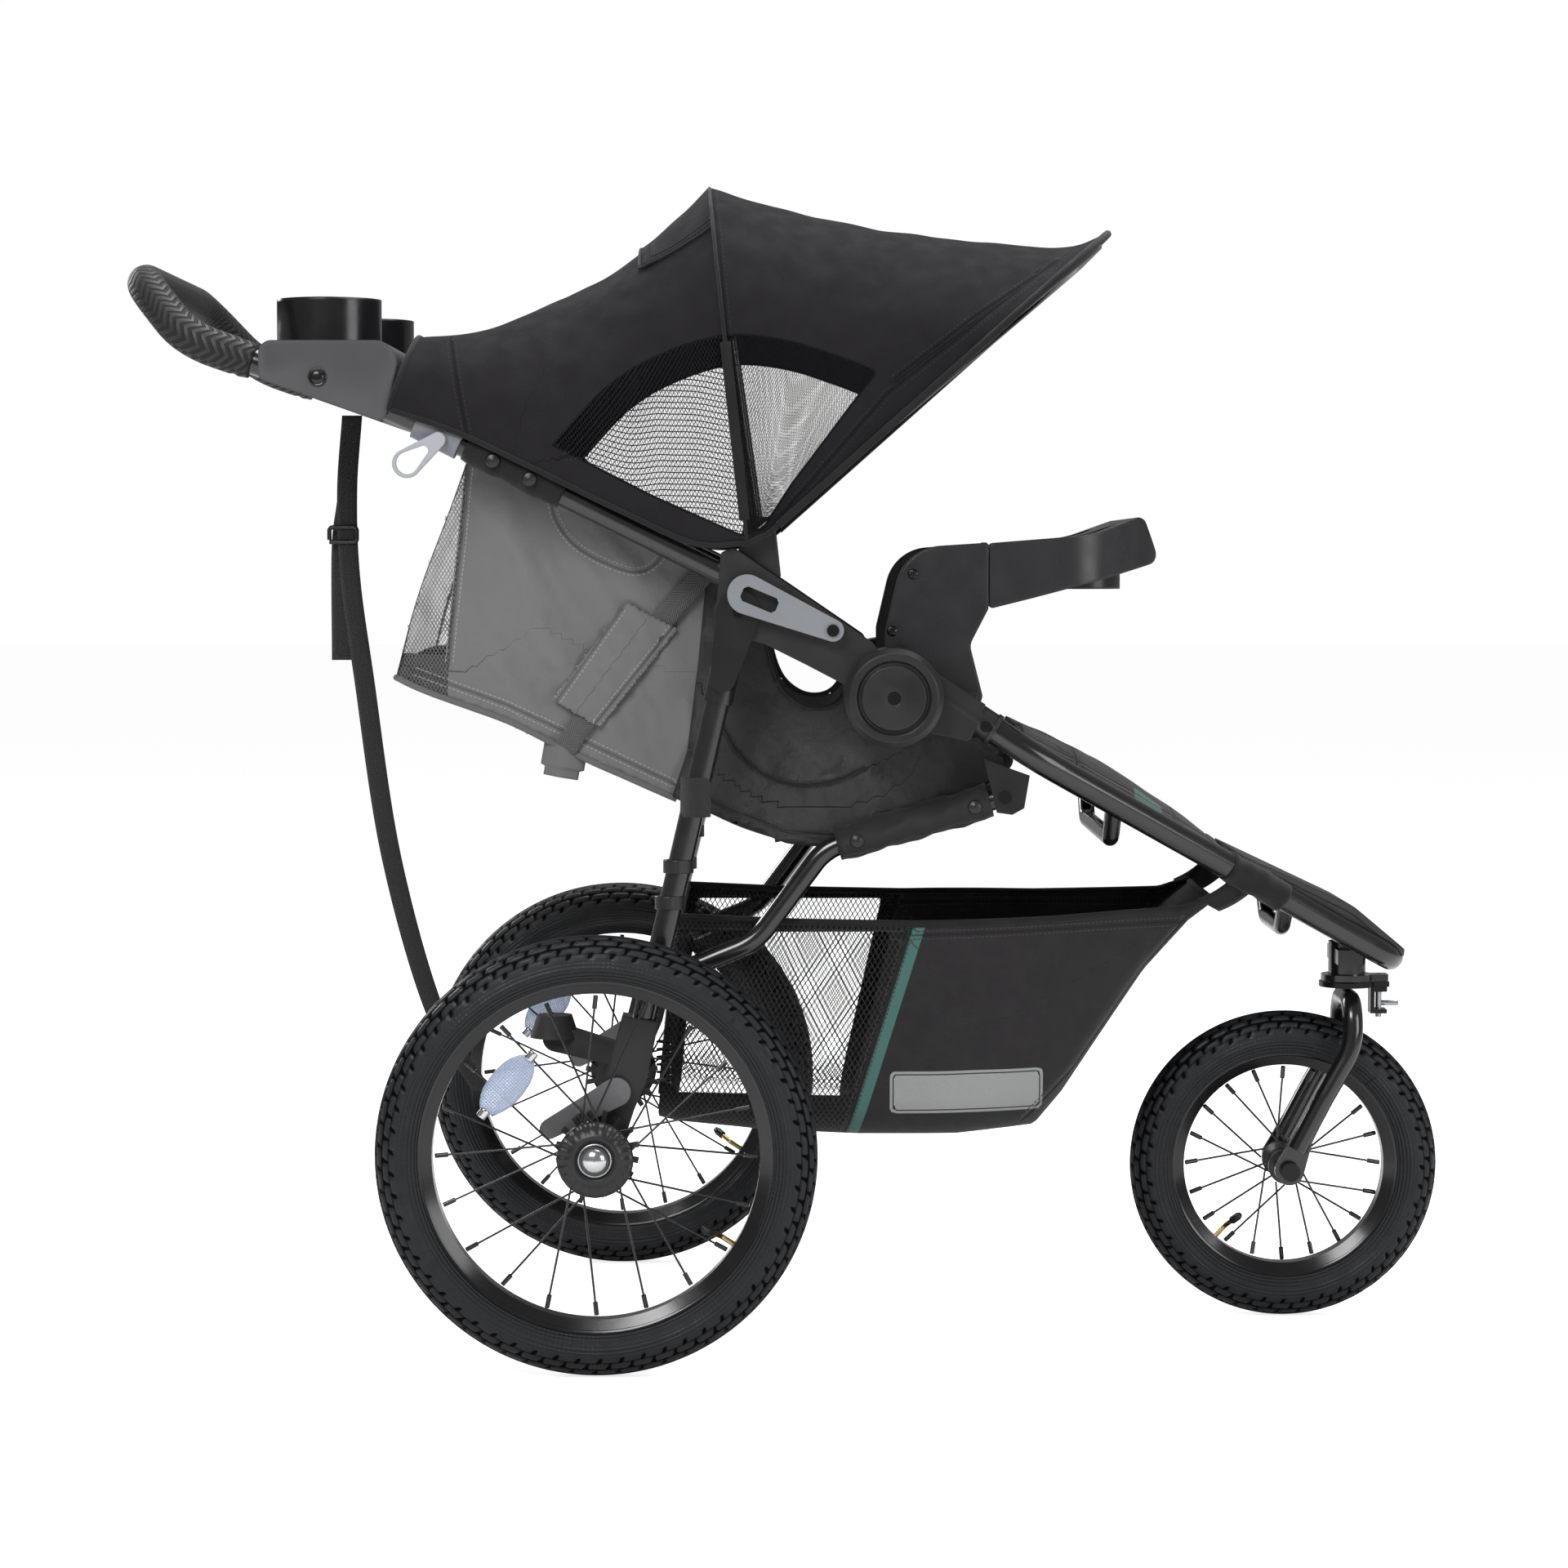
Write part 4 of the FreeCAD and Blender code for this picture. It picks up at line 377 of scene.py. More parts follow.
class Finish:
    """Wires the nodes of one procedural material."""

    def __init__(self, name, rough=0.5, metal=0.0):
        self.material = bpy.data.materials.new(name)
        self.material.use_nodes = True
        self.tree = self.material.node_tree
        self.shader = self.tree.nodes["Principled BSDF"]
        self.put(self.shader, "Roughness", rough)
        self.put(self.shader, "Metallic", metal)

    def put(self, node, key, value):
        target = node.inputs[key]
        if isinstance(value, bpy.types.NodeSocket):
            self.tree.links.new(value, target)
        elif isinstance(value, tuple) and len(value) == 3 and target.type == "RGBA":
            target.default_value = (*value, 1.0)
        else:
            target.default_value = value

    def add(self, kind, inputs=(), **settings):
        node = self.tree.nodes.new(kind)
        for key, value in settings.items():
            setattr(node, key, value)
        for key, value in dict(inputs).items():
            self.put(node, key, value)
        return node

    def math(self, operation, first, second=0.0):
        return self.add("ShaderNodeMath", {0: first, 1: second}, operation=operation).outputs[0]

    def times(self, first, second):
        return self.math("MULTIPLY", first, second)

    def plus(self, first, second):
        return self.math("ADD", first, second)

    def minus(self, first, second):
        return self.math("SUBTRACT", first, second)

    def size(self, value):
        return self.math("ABSOLUTE", value)

    def wave(self, value):
        return self.math("SINE", value)

    def place(self, source="Object"):
        return self.add("ShaderNodeTexCoord").outputs[source]

    def split(self, vector):
        return self.add("ShaderNodeSeparateXYZ", {0: vector}).outputs

    def noise(self, size, detail=3.0, vector=None):
        vector = vector or self.place()
        node = self.add("ShaderNodeTexNoise", {"Vector": vector, "Scale": 1 / size, "Detail": detail})
        return node.outputs["Fac"]

    def cells(self, size, vector=None):
        vector = vector or self.place()
        node = self.add("ShaderNodeTexVoronoi", {"Vector": vector, "Scale": 1 / size})
        return node.outputs["Distance"]

    def field(self, name):
        return self.add("ShaderNodeAttribute", attribute_name=name).outputs["Fac"]

    def ramp(self, value, low, high, first=0.0, last=1.0):
        """first at low, last at high, smooth between."""
        inputs = {"Value": value, "From Min": low, "From Max": high, "To Min": first, "To Max": last}
        node = self.add("ShaderNodeMapRange", inputs, interpolation_type="SMOOTHSTEP")
        return node.outputs["Result"]

    def mix(self, factor, first, second):
        node = self.add("ShaderNodeMix", data_type="RGBA")
        self.put(node, "Factor", factor)
        self.put(node, 6, first)
        self.put(node, 7, second)
        return node.outputs[2]

    def tone(self, base, size, detail, dark, light):
        """The base colour in uneven patches, between a darker and a lighter shade."""
        return self.mix(self.noise(size, detail), shade(base, dark), shade(base, light))

    def patchy(self, size, detail, low, high):
        """A number that drifts between low and high in patches."""
        return self.ramp(self.noise(size, detail), 0.3, 0.7, low, high)

    def within(self, name):
        """One inside an outline stored as a field, zero outside it."""
        return self.ramp(self.field(name), -FIELD_EDGE, FIELD_EDGE, 1.0, 0.0)

    def bump(self, height, distance, below=None):
        node = self.add("ShaderNodeBump", {"Height": height, "Distance": distance, "Strength": 1.0})
        if below is not None:
            self.put(node, "Normal", below)
        return node.outputs["Normal"]

    def soft_edge(self, radius):
        """Normals that round a moulded edge."""
        return self.add("ShaderNodeBevel", {"Radius": radius}, samples=4).outputs["Normal"]

    def edges(self):
        """One along worn, convex edges."""
        return self.ramp(self.add("ShaderNodeNewGeometry").outputs["Pointiness"], 0.53, 0.62)

    def finish(self, **inputs):
        for key, value in inputs.items():
            self.put(self.shader, key.replace("_", " "), value)
        return self.material


def shade(colour, factor):
    return tuple(min(1.0, c * factor) for c in colour)


def hard_finish(name, base, rough, metal=0.0, coat=0.0, grain=0.0009, depth=0.00004, wear=1.8, soften=0.0):
    """Paint, plastic, rubber or metal: uneven tone, grain, smudges and lighter edges."""
    f = Finish(name, metal=metal)
    tone = f.tone(base, 0.06, 4.0, 0.85, 1.2)
    colour = f.mix(f.times(f.edges(), 0.5), tone, shade(base, wear))
    roughness = f.patchy(0.035, 5.0, rough * 0.82, min(1.0, rough * 1.22))
    normal = f.bump(f.cells(grain), depth, f.soft_edge(soften) if soften else None)
    normal = f.bump(f.noise(0.012, 2.0), depth * 3, normal)
    return f.finish(
        Base_Color=colour, Roughness=roughness, Normal=normal, Coat_Weight=coat, Coat_Roughness=0.12,
    )


def brushed_finish(name, base, rough):
    f = Finish(name, metal=1.0)
    x, y, z = f.split(f.place())
    stretched = f.add("ShaderNodeCombineXYZ", {0: x, 1: f.times(y, 0.04), 2: z}).outputs[0]
    streak = f.noise(0.0006, 2.0, stretched)
    colour = f.tone(base, 0.01, 4.0, 0.75, 1.0)
    return f.finish(
        Base_Color=colour, Roughness=f.ramp(streak, 0.3, 0.7, rough * 0.7, rough * 1.3),
        Normal=f.bump(streak, 0.00003),
    )


def weave(f, thread, flat):
    """Height of a plain weave; flat pieces carry UVs in metres."""
    if flat:
        u, v, _ = f.split(f.place("UV"))
    else:
        x, v, z = f.split(f.place())
        u = f.plus(x, z)
    scale = math.pi / thread
    over = f.wave(f.times(u, scale))
    under = f.wave(f.times(v, scale))
    return f.times(over, under)


def net(f, pitch):
    """Distance from the threads of a diamond net: small on a thread."""
    u, v, _ = f.split(f.place("UV"))
    scale = math.pi / pitch
    first = f.wave(f.times(f.plus(u, f.times(v, 0.6)), scale))
    second = f.wave(f.times(f.minus(u, f.times(v, 0.6)), scale))
    return f.math("MINIMUM", f.size(first), f.size(second))


def outer_face(f):
    """One on faces that look away from the middle plane, zero on the others."""
    _, side, _ = f.split(f.place())
    _, across, _ = f.split(f.tree.nodes.new("ShaderNodeNewGeometry").outputs["True Normal"])
    return f.math("GREATER_THAN", f.times(side, across), 0.0)


def cloth_finish(
    name, base, thread=0.0008, rough=0.8, sheen=0.2, crease=0.0015, flat=True, satin=0.0,
    seams=False, net_field=None, clear_field=None, tints=(), outside_only=False, trims=(), net_pitch=0.0036,
):
    """Woven cloth with creases, and optionally seams, nets and tinted patches read from fields."""
    f = Finish(name)
    threads = weave(f, thread, flat)
    tone = f.tone(base, 0.09, 4.0, 0.82, 1.22)
    colour = f.mix(f.ramp(threads, -0.6, 0.9), shade(base, 0.75), tone)
    normal = f.bump(f.noise(0.045, 4.0), crease)
    normal = f.bump(threads, 0.00012, normal)
    roughness = f.patchy(0.02, 3.0, rough * 0.9, min(1.0, rough * 1.08))
    alpha = 1.0
    for field, tint in tints:
        inside = f.within(field)
        if outside_only:
            inside = f.times(inside, outer_face(f))
        woven = f.mix(f.ramp(threads, -0.6, 0.9), shade(tint, 0.8), tint)
        colour = f.mix(inside, colour, woven)
    for field, tint, width in trims:
        edge = f.size(f.plus(f.field(field), width))
        line = f.ramp(edge, 0.0004, 0.0007, 1.0, 0.0)
        colour = f.mix(line, colour, tint)
    if net_field:
        knit = net(f, net_pitch)
        thread_line = f.ramp(knit, 0.28, 0.42, 1.0, 0.0)
        dark = f.mix(thread_line, shade(base, 0.12), shade(base, 1.1))
        inside = f.within(net_field)
        colour = f.mix(inside, colour, dark)
        normal = f.bump(f.times(f.ramp(knit, 0.0, 0.5, 1.0, 0.0), inside), 0.0006, normal)
        if clear_field:
            gone = f.within(clear_field)
            hole = f.ramp(knit, 0.20, 0.32)
            alpha = f.minus(1.0, f.times(gone, hole))
    if seams:
        seam = f.size(f.field("seam"))
        groove = f.ramp(seam, 0.0, 0.0022)
        beside = f.size(f.minus(seam, 0.0035))
        dash = f.math("FRACT", f.math("DIVIDE", f.field("along"), 0.0042))
        stitch = f.times(f.ramp(beside, 0.0003, 0.0007, 1.0, 0.0), f.ramp(dash, 0.3, 0.4))
        colour = f.mix(stitch, colour, shade(base, 1.9))
        colour = f.mix(f.times(f.ramp(seam, 0.0, 0.0012, 1.0, 0.0), 0.7), colour, shade(base, 0.3))
        normal = f.bump(groove, 0.0012, normal)
        normal = f.bump(stitch, 0.0005, normal)
    return f.finish(
        Base_Color=colour, Roughness=roughness, Normal=normal, Alpha=alpha, Sheen_Weight=sheen,
        Sheen_Roughness=0.4, Specular_IOR_Level=0.25 + satin,
    )


def webbing_finish(name, base, width):
    """Narrow webbing: ribs across, a chevron down the middle and firm edges."""
    f = Finish(name, rough=0.75)
    along, across, _ = f.split(f.place("UV"))
    bent = f.size(f.minus(across, width / 2))
    slant = f.plus(along, f.times(bent, 0.8))
    rib = f.wave(f.times(slant, 2 * math.pi / 0.0022))
    cord = f.wave(f.times(across, 2 * math.pi / 0.0014))
    height = f.plus(rib, f.times(cord, 0.5))
    colour = f.mix(f.ramp(height, -1.2, 1.2), shade(base, 0.55), shade(base, 1.5))
    return f.finish(Base_Color=colour, Normal=f.bump(height, 0.0003), Sheen_Weight=0.15)


def grip_finish(name, base, around):
    """Rubber grip with zigzag ridges."""
    f = Finish(name, rough=0.62)
    along, turn, _ = f.split(f.place("UV"))
    zigzag = f.math("PINGPONG", turn, around / 12)
    slant = f.plus(along, f.times(zigzag, 0.9))
    ridge = f.ramp(f.math("PINGPONG", slant, 0.0042), 0.0010, 0.0026)
    colour = f.mix(ridge, shade(base, 0.5), f.tone(base, 0.01, 3.0, 1.0, 1.5))
    normal = f.bump(ridge, 0.0011)
    normal = f.bump(f.noise(0.0007, 2.0), 0.00008, normal)
    return f.finish(Base_Color=colour, Normal=normal, Roughness=f.ramp(ridge, 0.0, 1.0, 0.8, 0.55))


def tyre_finish(name, base):
    """Tyre rubber: moulding rings and fine flutes on the side wall, dust on the tread, and painted shade in the
    tread grooves.
    """
    f = Finish(name)
    along, across, _ = f.split(f.place("UV"))
    side = f.field("side_wall")
    rings = f.wave(f.times(across, 2 * math.pi / 0.0035))
    flutes = f.wave(f.times(along, 2 * math.pi / 0.004))
    height = f.times(f.plus(rings, f.times(flutes, 0.25)), side)
    tone = f.tone(base, 0.03, 5.0, 0.8, 1.35)
    # groove falls to zero in the tread grooves, which get painted shade: a much darker colour there
    groove = f.ramp(f.field("tread"), 0.1, 0.9)
    colour = f.mix(groove, shade(base, 0.22), tone)
    normal = f.bump(height, 0.00030)
    normal = f.bump(f.noise(0.0012, 3.0), 0.00015, normal)
    return f.finish(
        Base_Color=colour, Normal=normal, Roughness=f.patchy(0.02, 4.0, 0.42, 0.62),
        # painted shade in the tread grooves: a weaker reflection there
        Specular_IOR_Level=f.ramp(groove, 0.0, 1.0, 0.04, 0.42),
    )


def lens_finish(name, base):
    """Pale prismatic reflector lens."""
    f = Finish(name, rough=0.12)
    x, _, z = f.split(f.place())
    first = f.math("PINGPONG", f.plus(x, z), 0.0016)
    second = f.math("PINGPONG", f.minus(x, z), 0.0016)
    prism = f.math("DIVIDE", f.plus(first, second), 0.0032)
    colour = f.mix(prism, shade(base, 0.55), base)
    return f.finish(
        Base_Color=colour, Normal=f.bump(prism, 0.0008), Transmission_Weight=0.25, Alpha=0.85,
        Coat_Weight=0.6, IOR=1.49,
    )


def console_finish(name, base, cup_base, cups, cup_radius, cup_from):
    """Charcoal console whose cups are gloss black."""
    f = Finish(name)
    x, y, z = f.split(f.place())
    nearest = None
    for cup in cups:
        dx = f.minus(x, cup.x)
        dy = f.minus(y, cup.y)
        gap = f.math("SQRT", f.plus(f.times(dx, dx), f.times(dy, dy)))
        nearest = gap if nearest is None else f.math("MINIMUM", nearest, gap)
    in_cup = f.ramp(nearest, cup_radius, cup_radius + 0.0006, 1.0, 0.0)
    inside = f.times(in_cup, f.ramp(z, cup_from, cup_from + 0.001))
    body = f.tone(base, 0.05, 4.0, 0.85, 1.2)
    body = f.mix(f.times(f.edges(), 0.5), body, shade(base, 1.8))
    gloss = f.tone(cup_base, 0.05, 3.0, 1.0, 1.6)
    body_rough = f.patchy(0.03, 4.0, 0.42, 0.56)
    rough = f.plus(f.times(inside, -0.3), body_rough)
    grain = f.times(f.cells(0.0009), f.minus(1.0, inside))
    normal = f.bump(grain, 0.00005, f.soft_edge(0.004))
    return f.finish(Base_Color=f.mix(inside, body, gloss), Roughness=rough, Normal=normal)


BLACK = (0.006, 0.006, 0.007)
CANOPY_BLACK = (0.0195, 0.018, 0.0210)
SATIN_BLACK = (0.0072, 0.0068, 0.0079)
SATIN_GREY = (0.205, 0.202, 0.203)
TEAL = (0.075, 0.185, 0.165)
PATCH_GREY = (0.36, 0.37, 0.37)

FINISHES = {
    "gloss_paint": hard_finish("gloss_paint", BLACK, 0.24, coat=0.7, depth=0.00001),
    "satin_nylon": hard_finish("satin_nylon", (0.014, 0.014, 0.015), 0.38, soften=0.0024),
    "tray_plastic": hard_finish("tray_plastic", (0.016, 0.016, 0.0175), 0.30, soften=0.0040),
    "hub_black": hard_finish("hub_black", (0.014, 0.014, 0.015), 0.34, soften=0.0010),
    "rim_gloss": hard_finish("rim_gloss", (0.005, 0.005, 0.0055), 0.20, coat=0.25, depth=0.00001),
    "lever_grey": hard_finish("lever_grey", (0.20, 0.21, 0.225), 0.4, wear=1.3, soften=0.0016),
    "latch_grey": hard_finish("latch_grey", (0.19, 0.20, 0.22), 0.4, wear=1.2, soften=0.002),
    "latch_wire": hard_finish("latch_wire", (0.36, 0.37, 0.41), 0.35, wear=1.2, soften=0.0018),
    "brake_grey": hard_finish("brake_grey", (0.13, 0.13, 0.135), 0.42, wear=1.4),
    "spoke_wire": hard_finish("spoke_wire", (0.030, 0.030, 0.032), 0.25, metal=0.6, coat=0.3, depth=0.00001),
    "pedal_rubber": hard_finish("pedal_rubber", (0.018, 0.018, 0.018), 0.7, grain=0.0022, depth=0.0002),
    "buckle_black": hard_finish("buckle_black", (0.012, 0.012, 0.012), 0.36),
    "bush_nylon": hard_finish("bush_nylon", (0.05, 0.05, 0.05), 0.5),
    "zinc": brushed_finish("zinc", (0.55, 0.56, 0.58), 0.32),
    "bright_steel": brushed_finish("bright_steel", (0.78, 0.80, 0.82), 0.16),
    "brass": brushed_finish("brass", (0.70, 0.48, 0.20), 0.28),
    "bolt_black": hard_finish("bolt_black", (0.02, 0.02, 0.021), 0.25, metal=0.8),
    "tyre": tyre_finish("tyre", (0.0075, 0.0082, 0.0102)),
    "lens": lens_finish("lens", (0.62, 0.74, 0.98)),
    "webbing": webbing_finish("webbing", (0.014, 0.014, 0.015), 0.019),
    "grip": grip_finish("grip", (0.017, 0.017, 0.018), 2 * math.pi * 0.0175),
    "canopy": cloth_finish(
        "canopy", CANOPY_BLACK, sheen=0.0, satin=-0.13, crease=0.0016, seams=True,
        net_field="net", clear_field="clear", trims=(("net", shade(CANOPY_BLACK, 0.3), 0.0),),
    ),
    "seat_black": cloth_finish(
        "seat_black", SATIN_BLACK, thread=0.0005, rough=0.34, sheen=0.02, satin=0.40, crease=0.008, seams=True,
    ),
    "seat_grey": cloth_finish(
        "seat_grey", SATIN_GREY, thread=0.0005, rough=0.48, satin=0.2, crease=0.005, seams=True,
        net_field="net", clear_field="clear", net_pitch=0.0034,
    ),
    "pad_black": cloth_finish("pad_black", (0.022, 0.021, 0.023), rough=0.7, crease=0.0012, flat=False),
    "calf_black": cloth_finish(
        "calf_black", (0.020, 0.020, 0.022), rough=0.62, crease=0.002, tints=(("teal", TEAL),), seams=True,
    ),
    "basket": cloth_finish(
        "basket", (0.027, 0.025, 0.027), crease=0.0016, seams=True, net_field="net", clear_field="clear",
        tints=(("teal", TEAL), ("patch", PATCH_GREY)), outside_only=True,
        trims=(("patch", (0.02, 0.02, 0.02), 0.003),), net_pitch=0.0052,
    ),
    "binding": cloth_finish("binding", (0.014, 0.014, 0.015), thread=0.0007, rough=0.75, crease=0.0002),
    "seat_grey_cord": cloth_finish("seat_grey_cord", shade(SATIN_GREY, 0.85), thread=0.0007, crease=0.0003),
    "seat_black_sleeve": cloth_finish("seat_black_sleeve", SATIN_BLACK, thread=0.0006, rough=0.5, satin=0.2),
    "webbing_grey": webbing_finish("webbing_grey", (0.10, 0.10, 0.10), 0.022),
    "buckle_grey": hard_finish("buckle_grey", (0.13, 0.13, 0.13), 0.45, wear=1.2),
}


def dress(thing, finish):
    """Give an object one finish in place of any it came with."""
    thing.data.materials.clear()
    thing.data.materials.append(FINISHES[finish])
    return thing


def fit(thing, finish, body):
    """Finish a new piece and let it ride on a body."""
    dress(thing, finish)
    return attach(thing, body)


def cord(name, path, radius, body, slot, finish="binding", sides=12):
    """A bound edge or piped seam that rides on a body."""
    return fit(sweep(name, path, radius, sides), finish, body)


# ---------------------------------------------------------------------------
# The CAD pieces that stay
# ---------------------------------------------------------------------------
CAD_FINISH = {
    "gloss_paint": (
        "front_frame", "steering_head", "link_brackets", "handle_tube", "leg_brackets", "leg_tubes",
        "rear_axle", "seat_frame", "fork", "canopy_mid_bow", "canopy_front_bow",
    ),
    "satin_nylon": ("hinge_sockets", "hinge_covers", "footrest", "hinge_arms", "canopy_clamps", "leg_sockets"),
    "tray_plastic": ("tray_arms", "tray"),
    "rim_gloss": ("front_rim", "rear_right_rim", "rear_left_rim"),
    "hub_black": ("front_hub", "rear_right_hub", "rear_left_hub"),
    "spoke_wire": ("front_spokes", "rear_right_spokes", "rear_left_spokes"),
    "lever_grey": ("right_fold_lever", "left_fold_lever"),
    "latch_grey": ("latch_clamp",),
    "brake_grey": ("brake_levers",),
    "pedal_rubber": ("brake_pedal",),
    "zinc": ("brake_shaft", "swivel_lock_pin"),
    "latch_wire": ("latch_hook",),
    "bolt_black": ("frame_fasteners", "arm_rivets", "front_axle", "steerer", "brake_springs"),
    "bush_nylon": ("steering_bushes",),
    "buckle_black": ("buckle_button",),
}


def dress_cad():
    for finish, names in CAD_FINISH.items():
        for name in names:
            dress(frame["nodes"][name], finish)
    cups = [Vector(mount["pos_m"]) for mount in frame["record"]["mounts"] if "cup" in mount["name"]]
    FINISHES["console"] = console_finish(
        "console", (0.052, 0.052, 0.056), (0.007, 0.007, 0.008), cups, 0.0483,
        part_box("console_lid")[1].z - 0.0006,
    )
    for name in ("parent_console", "console_lid"):
        dress(frame["nodes"][name], "console")


# ---------------------------------------------------------------------------
# Wheels
# ---------------------------------------------------------------------------
TYRE_SECTION = 0.0235


def make_tyre(name, body, joint):
    """A block-tread tyre: a smooth side wall and four staggered rows of blocks."""
    low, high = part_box(name)
    centre = Vector(JOINTS[joint]["pos_m"])
    radius = (high.z - low.z) / 2
    ring = radius - TYRE_SECTION
    blocks = int(round(2 * math.pi * radius / 0.0215))
    steps = blocks * 8
    half_arc = 2.35
    count = 56
    angles = [half_arc * (2 * j / (count - 1) - 1) for j in range(count)]
    profile = [(ring + TYRE_SECTION * math.cos(a), TYRE_SECTION * math.sin(a)) for a in angles]

    def pit(value, low_edge, high_edge):
        return max(0.0, min(1.0, (value - low_edge) / (high_edge - low_edge)))

    def depth_at(turn, angle):
        lean = abs(angle)
        if lean > 1.42:
            return 0.0
        side = 0.5 if angle < 0 else 0.0
        phase = turn / (2 * math.pi) * blocks
        if lean < 0.16:
            return 0.0
        row = 0 if lean < 0.50 else 1 if lean < 0.82 else 2 if lean < 1.12 else 3
        gap_between_rows = min(abs(lean - 0.18), abs(lean - 0.50), abs(lean - 0.82), abs(lean - 1.12))
        offset = phase + side + (0.5 if row in (1, 3) else 0.0) + lean * 0.35
        across = abs((offset % 1.0) - 0.5) * 2
        groove = pit(across, 0.74, 0.9)
        channel = 1 - pit(gap_between_rows, 0.02, 0.055)
        fade = 1 - pit(lean, 1.36, 1.42)
        return max(groove, channel) * fade

    def shape(turn, j, r, a):
        depth = 0.0024 * depth_at(turn, angles[j])
        shrink = 1 - depth / TYRE_SECTION
        bead = 0.0008 * math.exp(-((abs(angles[j]) - 1.75) / 0.05) ** 2)
        shrink += bead / TYRE_SECTION
        return ring + (r - ring) * shrink, a * shrink

    tyre = lathe(f"{body}_tyre_tread", profile, centre, (0, 1, 0), steps, shape)
    lean = np.tile(np.abs(angles), steps)
    # tread is one on the blocks and side wall and falls to zero in the grooves; the tyre finish paints shade where
    # it is low
    tread = [1.0 - depth_at(2 * math.pi * i / steps, a) for i in range(steps) for a in angles]
    add_fields(tyre, side_wall=np.clip((lean - 1.44) / 0.06, 0, 1), tread=tread)
    thicken(tyre, 0.002).modifiers["skin"].offset = 1.0
    fit(tyre, "tyre", body)
    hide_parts(name)


def make_valve(body, joint, angle, rim):
    """A bent brass valve stem with its black cap."""
    centre = Vector(JOINTS[joint]["pos_m"])
    out = Vector((math.cos(angle), 0, math.sin(angle)))
    side = Vector((0, -1 if centre.y <= 0 else 1, 0))
    foot = centre + out * (rim + 0.004)
    bend = centre + out * (rim - 0.012)
    tip = bend + (side * 0.7 - out * 0.7) * 0.016
    stem = sweep(f"{body}_valve_stem", rounded_line([foot, bend, tip], [0.006], 0.001), 0.0024, 14)
    fit(stem, "brass", body)
    reach = (tip - bend).normalized()

    def ribbed(way, turn):
        return 0.0038 + 0.0002 * math.cos(turn * 12) - 0.0012 * max(0.0, (way - 0.009) / 0.004)

    cap_line = [tip + reach * (0.001 * k - 0.002) for k in range(14)]
    fit(sweep(f"{body}_valve_cap", cap_line, ribbed, 24), "buckle_black", body)


def make_axle_cap(body, joint, side):
    """The domed steel cap, its ring and the ribbed guard at the outer end of a rear axle."""
    centre = Vector(JOINTS[joint]["pos_m"])
    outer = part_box(f"{body.replace('_wheel', '')}_hub")
    face = (outer[1].y - centre.y) if side > 0 else (centre.y - outer[0].y)
    axis = (0, side, 0)
    dome = [(0.0001, face + 0.0115)]
    dome += [(0.0128 * math.sin(a), face + 0.0015 + 0.010 * math.cos(a)) for a in np.linspace(0.1, 1.57, 12)]
    dome += [(0.0128, face - 0.002)]
    fit(lathe(f"{body}_axle_cap", dome, centre, axis, 48), "bright_steel", body)
    ring = [(0.0129, face + 0.0005), (0.0132, face + 0.0032), (0.0150, face + 0.0034), (0.0156, face + 0.001),
            (0.0156, face - 0.002)]
    fit(lathe(f"{body}_bearing_ring", ring, centre, axis, 48), "zinc", body)

    def ribbed(turn, j, r, a):
        return r, a + 0.0011 * (math.cos(turn * 24) > 0.2) * (j in (4, 5, 6))

    guard = [(0.0158, face - 0.003), (0.0165, face + 0.0022), (0.0225, face + 0.0024), (0.0240, face + 0.0004),
             (0.0290, face - 0.0006), (0.0330, face - 0.0016), (0.0345, face - 0.0034), (0.0342, face - 0.0056),
             (0.0180, face - 0.006)]
    fit(lathe(f"{body}_dust_guard", guard, centre, axis, 144, ribbed), "hub_black", body)


def make_rim_lip(body, joint, edge):
    """The thin gloss lips where the tyre meets the rim."""
    centre = Vector(JOINTS[joint]["pos_m"])
    for label, way in (("outer", 1), ("inner", -1)):
        ring = [(edge + 0.0008, way * 0.0140), (edge + 0.0011, way * 0.0147), (edge - 0.0004, way * 0.0152),
                (edge - 0.0062, way * 0.0146), (edge - 0.0064, way * 0.0141)]
        piece = lathe(f"{body}_{label}_rim_lip", ring, centre, (0, 1, 0), 180)
        fit(piece, "rim_gloss", body)


def make_reflector(body, joint, angle, side):
    """A leaf-shaped lens between the spokes with a bright clip at each end."""
    centre = Vector(JOINTS[joint]["pos_m"])
    outward = Vector((math.cos(angle), 0, math.sin(angle)))
    along = Vector((outward.z, 0, -outward.x))
    middle = centre + outward * 0.103 + Vector((0, side * 0.014, 0))
    line = [middle + along * (0.034 * (k / 24 - 1)) for k in range(49)]
    length = lengths(line)[-1]

    def leaf(way, turn):
        gap = abs(2 * way / length - 1)
        return 0.0165 * max(0.04, 1 - gap ** 2.3) ** 0.62

    lens = sweep(f"{body}_reflector_lens", line, leaf, 40)
    flatten(lens, Vector((0, 1, 0)), line, 0.16)
    fit(lens, "lens", body)
    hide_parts(f"{body.replace('_wheel', '')}_reflector")
    for label, way in (("inner", -1), ("outer", 1)):
        start = middle + along * (way * 0.0295)
        clip_line = [start + along * (way * 0.0012 * k) for k in range(8)]
        clip = sweep(f"{body}_reflector_clip_{label}", clip_line, 0.0046, 24)
        flatten(clip, Vector((0, 1, 0)), clip_line, 0.75)
        fit(clip, "bright_steel", body)


